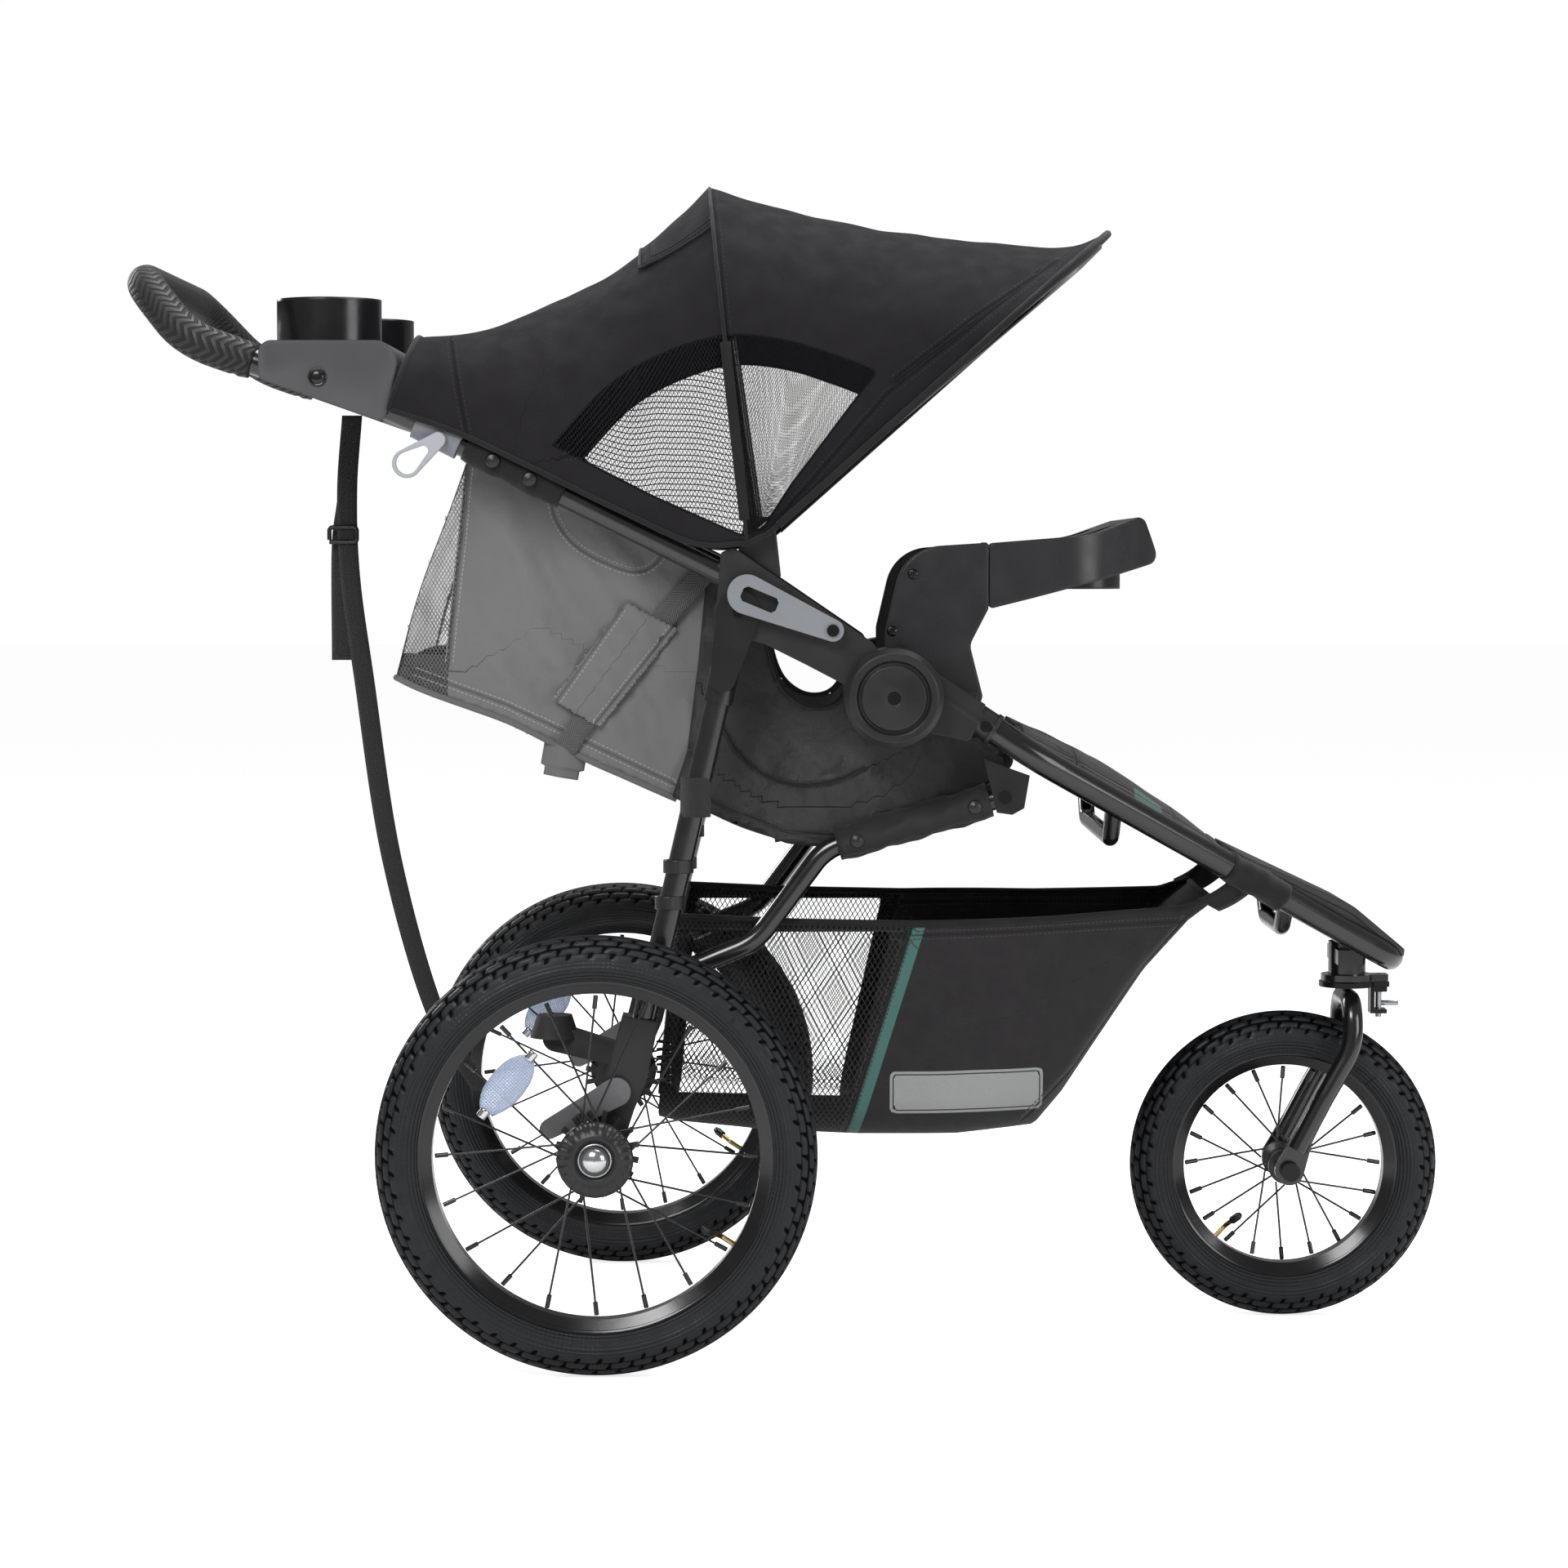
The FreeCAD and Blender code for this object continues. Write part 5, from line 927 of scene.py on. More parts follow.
def make_wheels():
    for label, side in SIDES:
        body = f"rear_{label}_wheel"
        joint = f"rear_{label}_spin"
        make_tyre(f"rear_{label}_tyre", body, joint)
        low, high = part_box(f"rear_{label}_rim")
        edge = (high.z - low.z) / 2
        make_valve(body, joint, math.radians(-33), edge - 0.016)
        make_axle_cap(body, joint, side)
        make_reflector(body, joint, math.radians(140), side)
        make_rim_lip(body, joint, edge)
    make_tyre("front_tyre", "front_wheel", "front_spin")
    low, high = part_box("front_rim")
    edge = (high.z - low.z) / 2
    make_valve("front_wheel", "front_spin", math.radians(228), edge - 0.016)
    make_rim_lip("front_wheel", "front_spin", edge)


# ---------------------------------------------------------------------------
# Handle grip, straps and other small parts
# ---------------------------------------------------------------------------
def handle_line(start):
    """The handle's centre line from a place on its rear straight to its top."""
    slope = (HANDLE_RISE[1] - HANDLE_BEND[1]) / (HANDLE_RISE[0] - HANDLE_BEND[0])
    up = HANDLE_BEND[1] + slope * (start - HANDLE_BEND[0])
    corners = [at(start, up, -TUBE_PLANE), at(*HANDLE_RISE, -TUBE_PLANE), at(*HANDLE_TOP, -HANDLE_CORNER)]
    return rounded_line(both_sides(corners), [0.070] * 4, 0.004)


def make_grip():
    """The zigzag rubber grip, with a smooth collar at each end."""
    path = handle_line(-0.310)
    total = lengths(path)[-1]

    def radius(way, _):
        end = min(way, total - way)
        collar = 0.0016 if end < 0.010 else 0.0
        hollow = 0.0012 if 0.010 <= end < 0.014 else 0.0
        return 0.0172 - collar * (1 - end / 0.010) - hollow

    grip = sweep("handle_grip_rubber", path, radius, 40)
    fit(grip, "grip", "handle")
    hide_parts("handle_grip")


def tube_sleeve(name, path, radius, finish, body, folds=0.0012):
    """A cloth sleeve buttoned around a tube, with soft folds."""
    def size(way, turn):
        fold = math.sin(way * 310 + 2 * math.sin(turn)) * 0.5 + math.sin(way * 130 + turn * 3)
        return radius + folds * (0.4 + 0.4 * fold)

    return fit(sweep(name, path, size, 28), finish, body)


def snap(name, place, body, radius=0.0065):
    """A press stud, seen from the side of the stroller it faces."""
    side = -1 if place.y < 0 else 1
    profile = [(0.0001, 0.0030), (radius * 0.5, 0.0032), (radius * 0.62, 0.0022), (radius * 0.8, 0.0024),
               (radius, 0.0010), (radius, -0.001)]
    return fit(lathe(name, profile, place, (0, side, 0), 32), "buckle_black", body)


def screw(name, place, body, radius=0.005):
    """A domed screw head with a cross recess."""
    side = -1 if place.y < 0 else 1
    steps = 48
    profile = [(radius * k / 8, 0.0022 * math.cos(k / 8 * 1.35)) for k in range(1, 9)] + [(radius, -0.0008)]

    def recess(turn, j, r, a):
        arm = min(abs(math.sin(turn)), abs(math.cos(turn))) * r
        deep = 0.0012 if arm < radius * 0.16 and r < radius * 0.62 else 0.0
        return r, a - deep

    return fit(lathe(name, profile, place, (0, side, 0), steps, recess), "bolt_black", body)


def make_wrist_strap():
    """The tether: a sewn tail, its slider, and the long run down to the axle."""
    plane = (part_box("wrist_strap")[0].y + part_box("wrist_strap")[1].y) / 2
    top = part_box("wrist_strap")[1].z
    run = smooth_line([
        at(-0.240, top, plane), at(-0.245, 0.800, plane - 0.002), at(-0.243, 0.720, plane),
        at(-0.231, 0.625, plane + 0.003), at(-0.206, 0.455, plane), at(-0.165, 0.305, plane),
        at(-0.120, 0.228, plane),
    ], 14)
    tail = smooth_line([at(-0.246, 0.790, plane + 0.004), at(-0.2515, 0.745, plane + 0.0055),
                        at(-0.252, 0.640, plane + 0.006)], 10)
    ahead = Vector((1, 0, 0))
    long_strap = strap("wrist_strap_run", run, 0.019, ahead)
    tail_strap = strap("wrist_strap_tail", tail, 0.019, ahead)
    frame_loop = rounded_line([
        at(-0.262, 0.752, plane - 0.0030), at(-0.236, 0.752, plane - 0.0030), at(-0.236, 0.766, plane - 0.0030),
        at(-0.262, 0.766, plane - 0.0030), at(-0.262, 0.754, plane - 0.0030),
    ], [0.003] * 3, 0.001)
    slider = sweep("wrist_strap_slider", frame_loop, 0.0021, 12)
    for piece, finish, slot in ((long_strap, "webbing", "webbing"), (tail_strap, "webbing", "webbing"),
                                (slider, "buckle_black", "buckle_plastic")):
        dress(piece, finish)
        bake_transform(piece)
    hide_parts("wrist_strap")


def leg_place(up, side):
    """A place on a rear leg's centre line at a given height."""
    slope = (LEG_PIVOT[0] - 0.020) / (LEG_PIVOT[1] - 0.225)
    return at(LEG_PIVOT[0] - slope * (LEG_PIVOT[1] - up), up, side)


def make_small_parts():
    for label, side in SIDES:
        plane = side * TUBE_PLANE
        sleeve = [at(-0.117 + 0.087 * k / 24, 0.8383 - 0.0432 * k / 24, plane) for k in range(25)]
        tube_sleeve(f"{label}_handle_sleeve", sleeve, 0.0142, "binding", "handle", 0.0018)
        outer = side * (TUBE_PLANE + 0.0150)
        snap(f"{label}_sleeve_snap_rear", at(-0.093, 0.8240, outer), "handle")
        snap(f"{label}_sleeve_snap_front", at(-0.060, 0.8075, outer), "handle")
        for k, up in enumerate((0.457, 0.424)):
            place = leg_place(up, plane)
            ring = [place + Vector((0, 0, 0.001 * m - 0.006)) for m in range(13)]
            clip = sweep(
                f"{label}_leg_clip_{k}", ring, lambda way, turn: 0.0128 + 0.0022 * (math.cos(turn) < -0.7), 32,
            )
            fit(clip, "buckle_black", "rear_legs")
        loop_place = leg_place(0.520, plane)
        band = [loop_place + Vector((0, 0, 0.002 * m - 0.018)) for m in range(19)]
        tube_sleeve(f"{label}_leg_webbing", band, 0.0138, "webbing", "rear_legs", 0.0006)
        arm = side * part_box("tray_arms")[1].y
        screw(f"{label}_tray_arm_screw_high", at(0.287, 0.722, arm), "front_frame")
        screw(f"{label}_tray_arm_screw_low", at(0.268, 0.670, arm), "front_frame")
        console_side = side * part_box("parent_console")[1].y
        button = [(0.0001, 0.0024), (0.004, 0.0025), (0.0058, 0.0016), (0.0064, 0.0003), (0.0070, 0.0018),
                  (0.0082, 0.0016), (0.0086, -0.001)]
        fit(lathe(f"{label}_console_button", button, at(-0.250, 0.899, console_side), (0, side, 0), 48),
            "rim_gloss", "handle")


# ---------------------------------------------------------------------------
# Canopy: two cloth panels that meet along the middle bow's seam
# ---------------------------------------------------------------------------
def u_section(depth, half, corner, columns):
    """(across, along its legs) around a U with round corners, right end to left end."""
    straight = depth - corner
    curve = corner * math.pi / 2
    total = 2 * (straight + curve + half - corner)
    section = []
    for k in range(columns):
        way = total * k / (columns - 1)
        run = min(way, total - way)
        if run < straight:
            across, along = half, run
        elif run < straight + curve:
            turn = (run - straight) / corner
            across, along = half - corner * (1 - math.cos(turn)), straight + corner * math.sin(turn)
        else:
            across, along = half - corner - (run - straight - curve), depth
        section.append((across if way > total / 2 else -across, along))
    return section


def arch(base, top, half=CANOPY_HALF - 0.001):
    """Places across one canopy arch, right foot to left foot."""
    low, high = at(*base), at(*top)
    height = (high - low).length
    rise = (high - low) / height
    section = u_section(height, half, min(CANOPY_CORNER, height * 0.8), CANOPY_COLUMNS)
    return [low + rise * up + Vector((0, side, 0)) for side, up in section]


def cloth_row(stations, t, sag, folds):
    """One arch of a cloth panel: it sags between the bows and puckers at the edges."""
    bases, tops = (smooth_line(side, 24) for side in zip(*stations))
    k = t * (len(bases) - 1)
    low, high = int(k), min(int(k) + 1, len(bases) - 1)
    base = bases[low].lerp(bases[high], k - low)
    top = tops[low].lerp(tops[high], k - low)
    row = arch(base[:2], top[:2])
    centre = at((base[0] + top[0]) / 2, base[1])
    loose = math.sin(math.pi * t)
    for j, place in enumerate(row):
        s = abs(2 * j / (CANOPY_COLUMNS - 1) - 1)
        inward = centre - place
        inward = Vector((0, inward.y, inward.z)).normalized()
        slack = sag * loose * (0.35 + 0.65 * (1 - s))
        pucker = folds * loose * ripple((place.x * 2.2, place.y * 0.6, place.z * 0.8), 0.13, 3.0)
        edge = 0.0012 * ripple(place, 0.03, 7.0)
        row[j] = place + inward * (slack + pucker + edge)
    return row


WINDOW = smooth_line([
    (-0.040, 0.838), (0.008, 0.889), (0.055, 0.918), (0.114, 0.936), (0.170, 0.932),
    (0.222, 0.916), (0.253, 0.904),
], 8) + as_vectors([(0.176, 0.802), (0.150, 0.762), (0.129, 0.757), (0.050, 0.792)])
REAR_STATIONS = (
    ((-0.186, 0.870), (-0.163, 0.937)), ((-0.124, 0.849), (-0.112, 0.944)), ((-0.060, 0.819), (-0.054, 0.970)),
    ((0.020, 0.780), (0.012, 1.005)), ((0.088, 0.750), (0.068, 1.050)), ((0.136, 0.750), (0.100, 1.0795)),
)
REAR_SAG = (0.004, 0.0035)
FRONT_SAG = (0.006, 0.0030)
FRONT_STATIONS = (
    ((0.136, 0.750), (0.100, 1.0795)), ((0.146, 0.755), (0.200, 1.0555)), ((0.153, 0.758), (0.320, 1.038)),
    ((0.159, 0.762), (0.425, 1.028)), ((0.164, 0.766), (0.470, 1.0375)),
)


def canopy_fields(sheet, seams):
    """Window, border and seam fields; the window is only in the side walls."""
    places = side_places(sheet)
    window = outline_field(places, WINDOW)
    add_fields(sheet, net=window, clear=window + 0.0015)
    add_seams(sheet, seams, places)


def blend_rows(piece):
    """Bake the piece's placement into its mesh."""
    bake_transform(piece)


def make_canopy():
    """Two cloth panels, their bound edges and the narrow bands beside the window."""
    band_seam = [(0.166, 0.774), (0.262, 0.884), (0.418, 1.006)]
    visor_seam = [(0.268, 0.897), (0.340, 0.952), (0.418, 1.004)]
    mid_seam = [(0.136, 0.753), (0.112, 1.000), (0.103, 1.079)]
    panels = (
        ("canopy_rear_cloth", REAR_STATIONS, "canopy_rear_panel", "handle", "canopy_mid", 96, REAR_SAG,
         [[(-0.115, 0.845), (-0.132, 0.93)], [(-0.03, 0.827), (0.004, 0.834)]]),
        ("canopy_front_cloth", FRONT_STATIONS, "canopy_front_panel", "canopy_mid", "canopy_front", 110,
         FRONT_SAG, [visor_seam, band_seam]),
    )
    for name, stations, node, first, second, rows, sag, seams in panels:
        ways = np.linspace(0, 1, rows)
        grid = [cloth_row(stations, way, *sag) for way in ways]
        sheet = grid_sheet(name, grid, 0.0011)
        canopy_fields(sheet, seams + [mid_seam])
        dress(sheet, "canopy")
        blend_rows(sheet)
        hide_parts(node)
        for label, column in (("right", 0), ("left", -1)):
            hem = sweep(f"{name}_{label}_hem", [row[column] for row in grid], 0.0026, 12)
            dress(hem, "binding")
            blend_rows(hem)
    cord("canopy_rear_edge", arch(*REAR_STATIONS[0]), 0.0026, "handle", "canopy_cloth")
    cord("canopy_visor_edge", arch(*FRONT_STATIONS[-1]), 0.0036, "canopy_front", "canopy_cloth", sides=14)
    seam_row = arch(*FRONT_STATIONS[0], CANOPY_HALF + 0.0004)
    cord("canopy_middle_seam", seam_row, 0.0017, "canopy_mid", "canopy_cloth", sides=10)
    window_band = [p for p in seam_row if 0.765 < p.z < 0.936]
    for label, side in SIDES:
        band = [p + Vector((0, side * 0.0008, 0)) for p in window_band if p.y * side > 0]
        piece = strap(f"canopy_{label}_window_band", band, 0.0095, Vector((1, 0, 0.1)).normalized(), 0.0010)
        fit(piece, "binding", "canopy_mid")


def make_canopy_flap():
    """The loose rear window flap, lying over the top of the rear panel."""
    count, first, last, reach = 34, 43, 107, 0.32
    across = last - first
    ways = 1 - reach * np.linspace(0, 1, count)
    rows = []
    for i, way in enumerate(ways):
        row = cloth_row(REAR_STATIONS, way, *REAR_SAG)[first:last]
        middle = row[0].z - 0.10
        lift = 0.0018 + 0.0030 * (i / (count - 1)) ** 6
        rows.append([place + Vector((0, place.y, place.z - middle)).normalized() * lift for place in row])
    flap = grid_sheet("canopy_window_flap", rows, 0.0011)
    places = np.array([(i, j) for i in range(count) for j in range(across)], float)
    pitch = (rows[0][0] - rows[-1][0]).length / (count - 1)
    edge_gap = np.minimum(np.minimum(places[:, 1], across - 1 - places[:, 1]) * 0.007,
                          (count - 1 - places[:, 0]) * pitch)
    add_fields(flap, seam=edge_gap - 0.008, along=places.sum(1) * pitch, net=1, clear=1)
    edges = [(f"{label}_edge", [row[column] for row in rows], 0.0015, ways)
             for label, column in (("right", 0), ("left", -1))]
    edges.append(("rear_edge", rows[-1], 0.0016, np.full(across, ways[-1])))
    pieces = [(flap, "canopy", np.repeat(ways, across))]
    for label, path, radius, weights in edges:
        pieces.append((sweep(f"canopy_flap_{label}", path, radius, 10), "binding", np.repeat(weights, 10)))
    for piece, finish, weights in pieces:
        dress(piece, finish)
        blend_rows(piece)


# ---------------------------------------------------------------------------
# Seat
# ---------------------------------------------------------------------------
BACK_HEAD = (-0.188, 0.627)
BACK_FOOT = (0.176, 0.482)
WALL_TOP_REAR = (-0.117, 0.838)
WALL_TOP_FRONT = (0.104, 0.727)


def back_directions():
    """Down along the seat back, and square out of its face."""
    slope = Vector((BACK_FOOT[0] - BACK_HEAD[0], 0, BACK_FOOT[1] - BACK_HEAD[1])).normalized()
    return slope, Vector((-slope.z, 0, slope.x))


def back_wall_bulge(x, z):
    """How far the rear wall billows out of its plane, with diagonal tension folds."""
    across = (x - BACK_HEAD[0]) / 0.30
    billow = 0.004 * math.sin(math.pi * min(1, max(0, across)))
    slant = x * 0.86 + z * 0.52
    steep = z * 0.86 - x * 0.52
    fold = 0.0068 * ripple((slant * 1.5, 0, steep * 0.35), 0.040, 2.0)
    crumple = 0.0026 * ripple((slant * 2.2, 0, steep * 0.7), 0.020, 6.0)
    calm = min(1.0, max(0.0, (0.080 - x) / 0.040))
    return billow + (fold + crumple) * calm


def front_wall_bulge(x, z):
    near_foot = math.exp(-((z - 0.52) / 0.05) ** 2)
    fold = 0.0075 * near_foot * ripple((x * 1.2 + z * 0.8, 0, z * 0.5 - x * 0.4), 0.030, 5.0)
    return fold + 0.0040 * ripple((x * 0.7 + z, 0, z * 0.6 - x), 0.050, 1.0)


def make_seat_walls():
    """The cloth walls of the seat: grey at the back, black in front of the rear legs."""
    back_outline = as_vectors([
        BACK_HEAD, (-0.160, 0.614), (-0.085, 0.587), (-0.026, 0.558), (0.070, 0.515), (0.095, 0.560),
        (0.104, 0.640), WALL_TOP_FRONT, (-0.010, 0.784), WALL_TOP_REAR, (-0.138, 0.780), (-0.168, 0.700),
    ])
    front_outline = as_vectors([
        (0.066, 0.517), (0.120, 0.494), (0.172, 0.474), (0.214, 0.470), (0.300, 0.486), (0.366, 0.523),
        (0.372, 0.552), (0.340, 0.575), (0.300, 0.585), (0.230, 0.610), (0.176, 0.660), (0.118, 0.716),
        (0.098, 0.722), (0.090, 0.640), (0.080, 0.560),
    ])
    cut_out = smooth_line([
        (0.152, 0.700), (0.155, 0.655), (0.166, 0.620), (0.186, 0.602), (0.208, 0.600),
        (0.224, 0.612), (0.232, 0.640), (0.236, 0.680),
    ], 6)
    net_area = [
        (-0.200, 0.600), (-0.141, 0.600), (-0.139, 0.650), (-0.127, 0.760), (-0.118, 0.850), (-0.200, 0.850),
    ]
    net_solid = [(-0.200, 0.650), (-0.142, 0.648), (-0.130, 0.760), (-0.1195, 0.850), (-0.220, 0.850)]
    flap = smooth_line([(-0.045, 0.803), (-0.041, 0.775), (-0.024, 0.750), (0.004, 0.733),
                        (0.034, 0.724), (0.052, 0.733), (0.066, 0.752)], 5)
    border = [
        [(-0.172, 0.633), (-0.086, 0.602), (-0.022, 0.572), (0.066, 0.530)],
        [(-0.139, 0.640), (-0.118, 0.832)],
    ]
    piping = smooth_line([(0.098, 0.610), (0.109, 0.589), (0.125, 0.560), (0.150, 0.538),
                          (0.180, 0.528), (0.215, 0.531), (0.244, 0.544)], 6)
    hem = [(0.070, 0.528), (0.122, 0.504), (0.172, 0.485), (0.214, 0.481), (0.300, 0.497), (0.358, 0.530)]
    for label, side in SIDES:
        wall = panel(
            f"seat_{label}_back_wall", back_outline,
            lambda x, z: side * (WALL_SIDE + back_wall_bulge(x, z)),
        )
        add_seams(wall, [flap] + border)
        places = side_places(wall)
        add_fields(wall, net=outline_field(places, net_area), clear=outline_field(places, net_solid))
        dress(wall, "seat_grey")
        blend_rows(wall)
        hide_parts("seat_sides")
        front = panel(
            f"seat_{label}_front_wall", front_outline,
            lambda x, z: side * (WALL_SIDE + 0.0035 + front_wall_bulge(x, z)), holes=[cut_out],
        )
        add_seams(front, [piping, hem])
        fit(front, "seat_black", "handle")
        bound = [p for p in cut_out if p.y < (0.690 if p.x < 0.200 else 0.640)]
        foot = smooth_line(back_outline[:5], 8)
        for part, line, proud, bulge, radius, body, finish in (
            ("cut_out_piping", bound, 0.0040, front_wall_bulge, 0.0022, "handle", "binding"),
            ("piping", piping, 0.0045, front_wall_bulge, 0.0016, "handle", "binding"),
            ("back_edge", foot, 0.0, back_wall_bulge, 0.0030, "seat_back", "seat_grey_cord"),
        ):
            path = [at(p.x, p.y, side * (WALL_SIDE + proud + bulge(p.x, p.y))) for p in line]
            cord(f"seat_{label}_{part}", path, radius, body, "seat_cloth", finish)


def make_head_net():
    """The mesh end of the seat between its two walls."""
    columns, steps = 70, 14
    outline = [BACK_HEAD, (-0.168, 0.700), (-0.138, 0.780), WALL_TOP_REAR]
    rows = []
    weights = []
    for i, place in enumerate(smooth_line(outline, steps)):
        t = i / (steps * (len(outline) - 1))
        row = []
        for side in np.linspace(-WALL_SIDE, WALL_SIDE, columns):
            bow = 0.010 * math.sin(math.pi * t) * (1 - (side / WALL_SIDE) ** 2)
            row.append(at(place.x - bow, place.y, side))
        rows.append(row)
        weights += [1 - t] * columns
    sheet = grid_sheet("seat_head_net", rows, 0.0008)
    edge_gap = np.array([min(abs(p.y - WALL_SIDE), abs(p.y + WALL_SIDE)) for row in rows for p in row])
    heights = [p.z for row in rows for p in row]
    add_fields(sheet, net=-1, clear=0.012 - edge_gap, seam=edge_gap - 0.012, along=heights)
    dress(sheet, "seat_grey")
    blend_rows(sheet)
    cord("seat_head_net_lower_edge", rows[0], 0.0028, "seat_back", "seat_cloth", "seat_grey_cord")
    cord("seat_head_net_upper_edge", rows[-1], 0.0028, "handle", "seat_cloth", "seat_grey_cord")


def puff(thing, steps, pressure, cap):
    """Inflate a padded form with a cloth simulation, limit its travel and apply it."""
    rest = mesh_places(thing)
    cloth = thing.modifiers.new("stuffing", "CLOTH")
    cloth.settings.use_pressure = True
    cloth.settings.uniform_pressure_force = pressure
    cloth.settings.effector_weights.gravity = 0.0
    cloth.settings.quality = 5
    cloth.settings.tension_stiffness = 12
    cloth.settings.compression_stiffness = 12
    scene = bpy.context.scene
    for frame_number in range(1, steps + 1):
        scene.frame_set(frame_number)
    shaped = thing.evaluated_get(bpy.context.evaluated_depsgraph_get())
    moved = mesh_places(shaped)
    thing.modifiers.remove(cloth)
    scene.frame_set(1)
    travel = moved - rest
    reach = np.linalg.norm(travel, axis=1, keepdims=True)
    travel *= np.minimum(1.0, cap / np.maximum(reach, 1e-9))
    move_places(thing, rest + travel)


def pad_blank(name, outline, half, shrink, voxel):
    """A closed prism over a side outline, remeshed evenly."""
    middle = sum((Vector(p) for p in outline), Vector((0, 0))) / len(outline)
    small = [middle + (Vector(p) - middle) * (1 - shrink / 0.2) for p in outline]
    build = bmesh.new()
    near = [build.verts.new(at(p.x, p.y, -half + shrink)) for p in small]
    far = [build.verts.new(at(p.x, p.y, half - shrink)) for p in small]
    build.faces.new(near)
    build.faces.new(list(reversed(far)))
    for i in range(len(small)):
        k = (i + 1) % len(small)
        build.faces.new((near[k], near[i], far[i], far[k]))
    bmesh.ops.recalc_face_normals(build, faces=build.faces)
    data = bpy.data.meshes.new(name)
    build.to_mesh(data)
    build.free()
    thing = bpy.data.objects.new(name, data)
    bpy.context.scene.collection.objects.link(thing)
    remesh = thing.modifiers.new("even", "REMESH")
    remesh.mode = "VOXEL"
    remesh.voxel_size = voxel
    soften = thing.modifiers.new("soften", "SMOOTH")
    soften.iterations = 6
    evaluated = thing.evaluated_get(bpy.context.evaluated_depsgraph_get())
    shaped = bpy.data.meshes.new_from_object(evaluated)
    thing.modifiers.clear()
    thing.data = shaped
    shaped.polygons.foreach_set("use_smooth", [True] * len(shaped.polygons))
    return thing


def quilt(thing, up, channels, depth=0.005, width=0.006):
    """Press sewn channels into the upper face; each is (start, end) as (ahead, side)."""
    count = len(thing.data.vertices)
    points = mesh_places(thing)
    normals = np.array([v.normal for v in thing.data.vertices])
    facing = np.clip((normals @ np.array(up) - 0.3) / 0.4, 0, 1)
    flat = np.stack([points[:, 0] - AXLE_X, points[:, 1]], 1)
    press = np.zeros(count)
    for channel in channels:
        signed, _ = line_fields(flat, [channel])
        press = np.maximum(press, np.exp(-(signed / width) ** 2))
    move_places(thing, points - np.array(up) * (press * facing * depth)[:, None])


def finish_pad(thing):
    smooth = thing.modifiers.new("smooth", "SUBSURF")
    smooth.levels = 1
    smooth.render_levels = 1


def make_pads():
    """The padded seat back and seat base, puffed by simulation and then quilted."""
    _, up = back_directions()
    half_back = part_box("seat_back_board")[1].y
    back = pad_blank("seat_back_pad", [
        (0.184, 0.484), (0.190, 0.505), (0.150, 0.524), (-0.090, 0.625), (-0.168, 0.657), (-0.184, 0.650),
        (-0.186, 0.634), (-0.100, 0.598), (0.040, 0.540),
    ], half_back, 0.004, 0.006)
    half_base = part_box("seat_base")[1].y
    base = pad_blank("seat_base_pad", [
        (0.232, 0.494), (0.233, 0.516), (0.282, 0.531), (0.366, 0.555), (0.385, 0.558), (0.389, 0.549),
        (0.372, 0.534), (0.286, 0.509),
    ], half_base, 0.003, 0.006)
    puff(back, 20, 4.0, 0.006)
    puff(base, 20, 4.0, 0.005)
    channels = [((0.120, s), (-0.120, s)) for s in (-0.105, 0.105)]
    channels += [((a, -0.105), (a, 0.105)) for a in (0.070, 0.000, -0.070)]
    channels += [((0.150, -half_back), (0.150, half_back))]
    quilt(back, up, channels)
    quilt(base, (0, 0, 1), [((0.300, -half_base), (0.300, half_base)), ((0.240, -0.09), (0.372, -0.07)),
                            ((0.240, 0.09), (0.372, 0.07))], 0.004)
    for pad, body, node in ((back, "seat_back", "seat_back_board"), (base, "seat_frame", "seat_base")):
        finish_pad(pad)
        fit(pad, "pad_black", body)
        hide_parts(node)


def make_back_shell():
    """The grey outer cloth under the seat back."""
    line = smooth_line([BACK_HEAD, (-0.160, 0.6155), (-0.085, 0.5875), (-0.026, 0.5585),
                        (0.070, 0.5150), (0.150, 0.4830), (0.181, 0.4760)], 10)
    rows = []
    for place in line:
        row = []
        for side in np.linspace(-WALL_SIDE + 0.001, WALL_SIDE - 0.001, 64):
            sag = 0.004 * (1 - (side / WALL_SIDE) ** 2) + 0.002 * ripple((place.x, side, 0), 0.05, 4.0)
            row.append(at(place.x, place.y - sag, side))
        rows.append(row)
    sheet = grid_sheet("seat_back_shell", rows, 0.0011)
    places = np.array([(p.x - AXLE_X, p.y) for row in rows for p in row])
    seams = [[(-0.175, s), (0.16, s)] for s in (-0.150, 0.150)] + [[(-0.02, -0.15), (-0.02, 0.15)]]
    add_seams(sheet, seams, places)
    add_fields(sheet, net=1, clear=1)
    fit(sheet, "seat_grey", "seat_back")


def make_footrest_skirt():
    """The footrest's side skirts, which close the gap down to the frame tube."""
    for label, side in SIDES:
        rows = []
        for k in range(40):
            ahead = 0.604 + 0.140 * k / 39
            lip = 0.4535 - 0.4955 * (min(ahead, 0.710) - 0.600) - 0.8036 * max(0.0, ahead - 0.710) + 0.0012
            foot = frame_up(ahead) + 0.004
            lip_side = 0.112 - 0.076 * (ahead - 0.600) / 0.168 - 0.0015
            foot_side = 0.210 - 0.174 * (ahead - 0.400) / 0.355 - 0.003
            rows.append([
                at(ahead, lip + (foot - lip) * t, side * (lip_side + (foot_side - lip_side) * t))
                for t in np.linspace(0, 1, 8)
            ])
        skirt = grid_sheet(f"footrest_{label}_skirt", rows, 0.0016)
        fit(skirt, "satin_nylon", "front_frame")


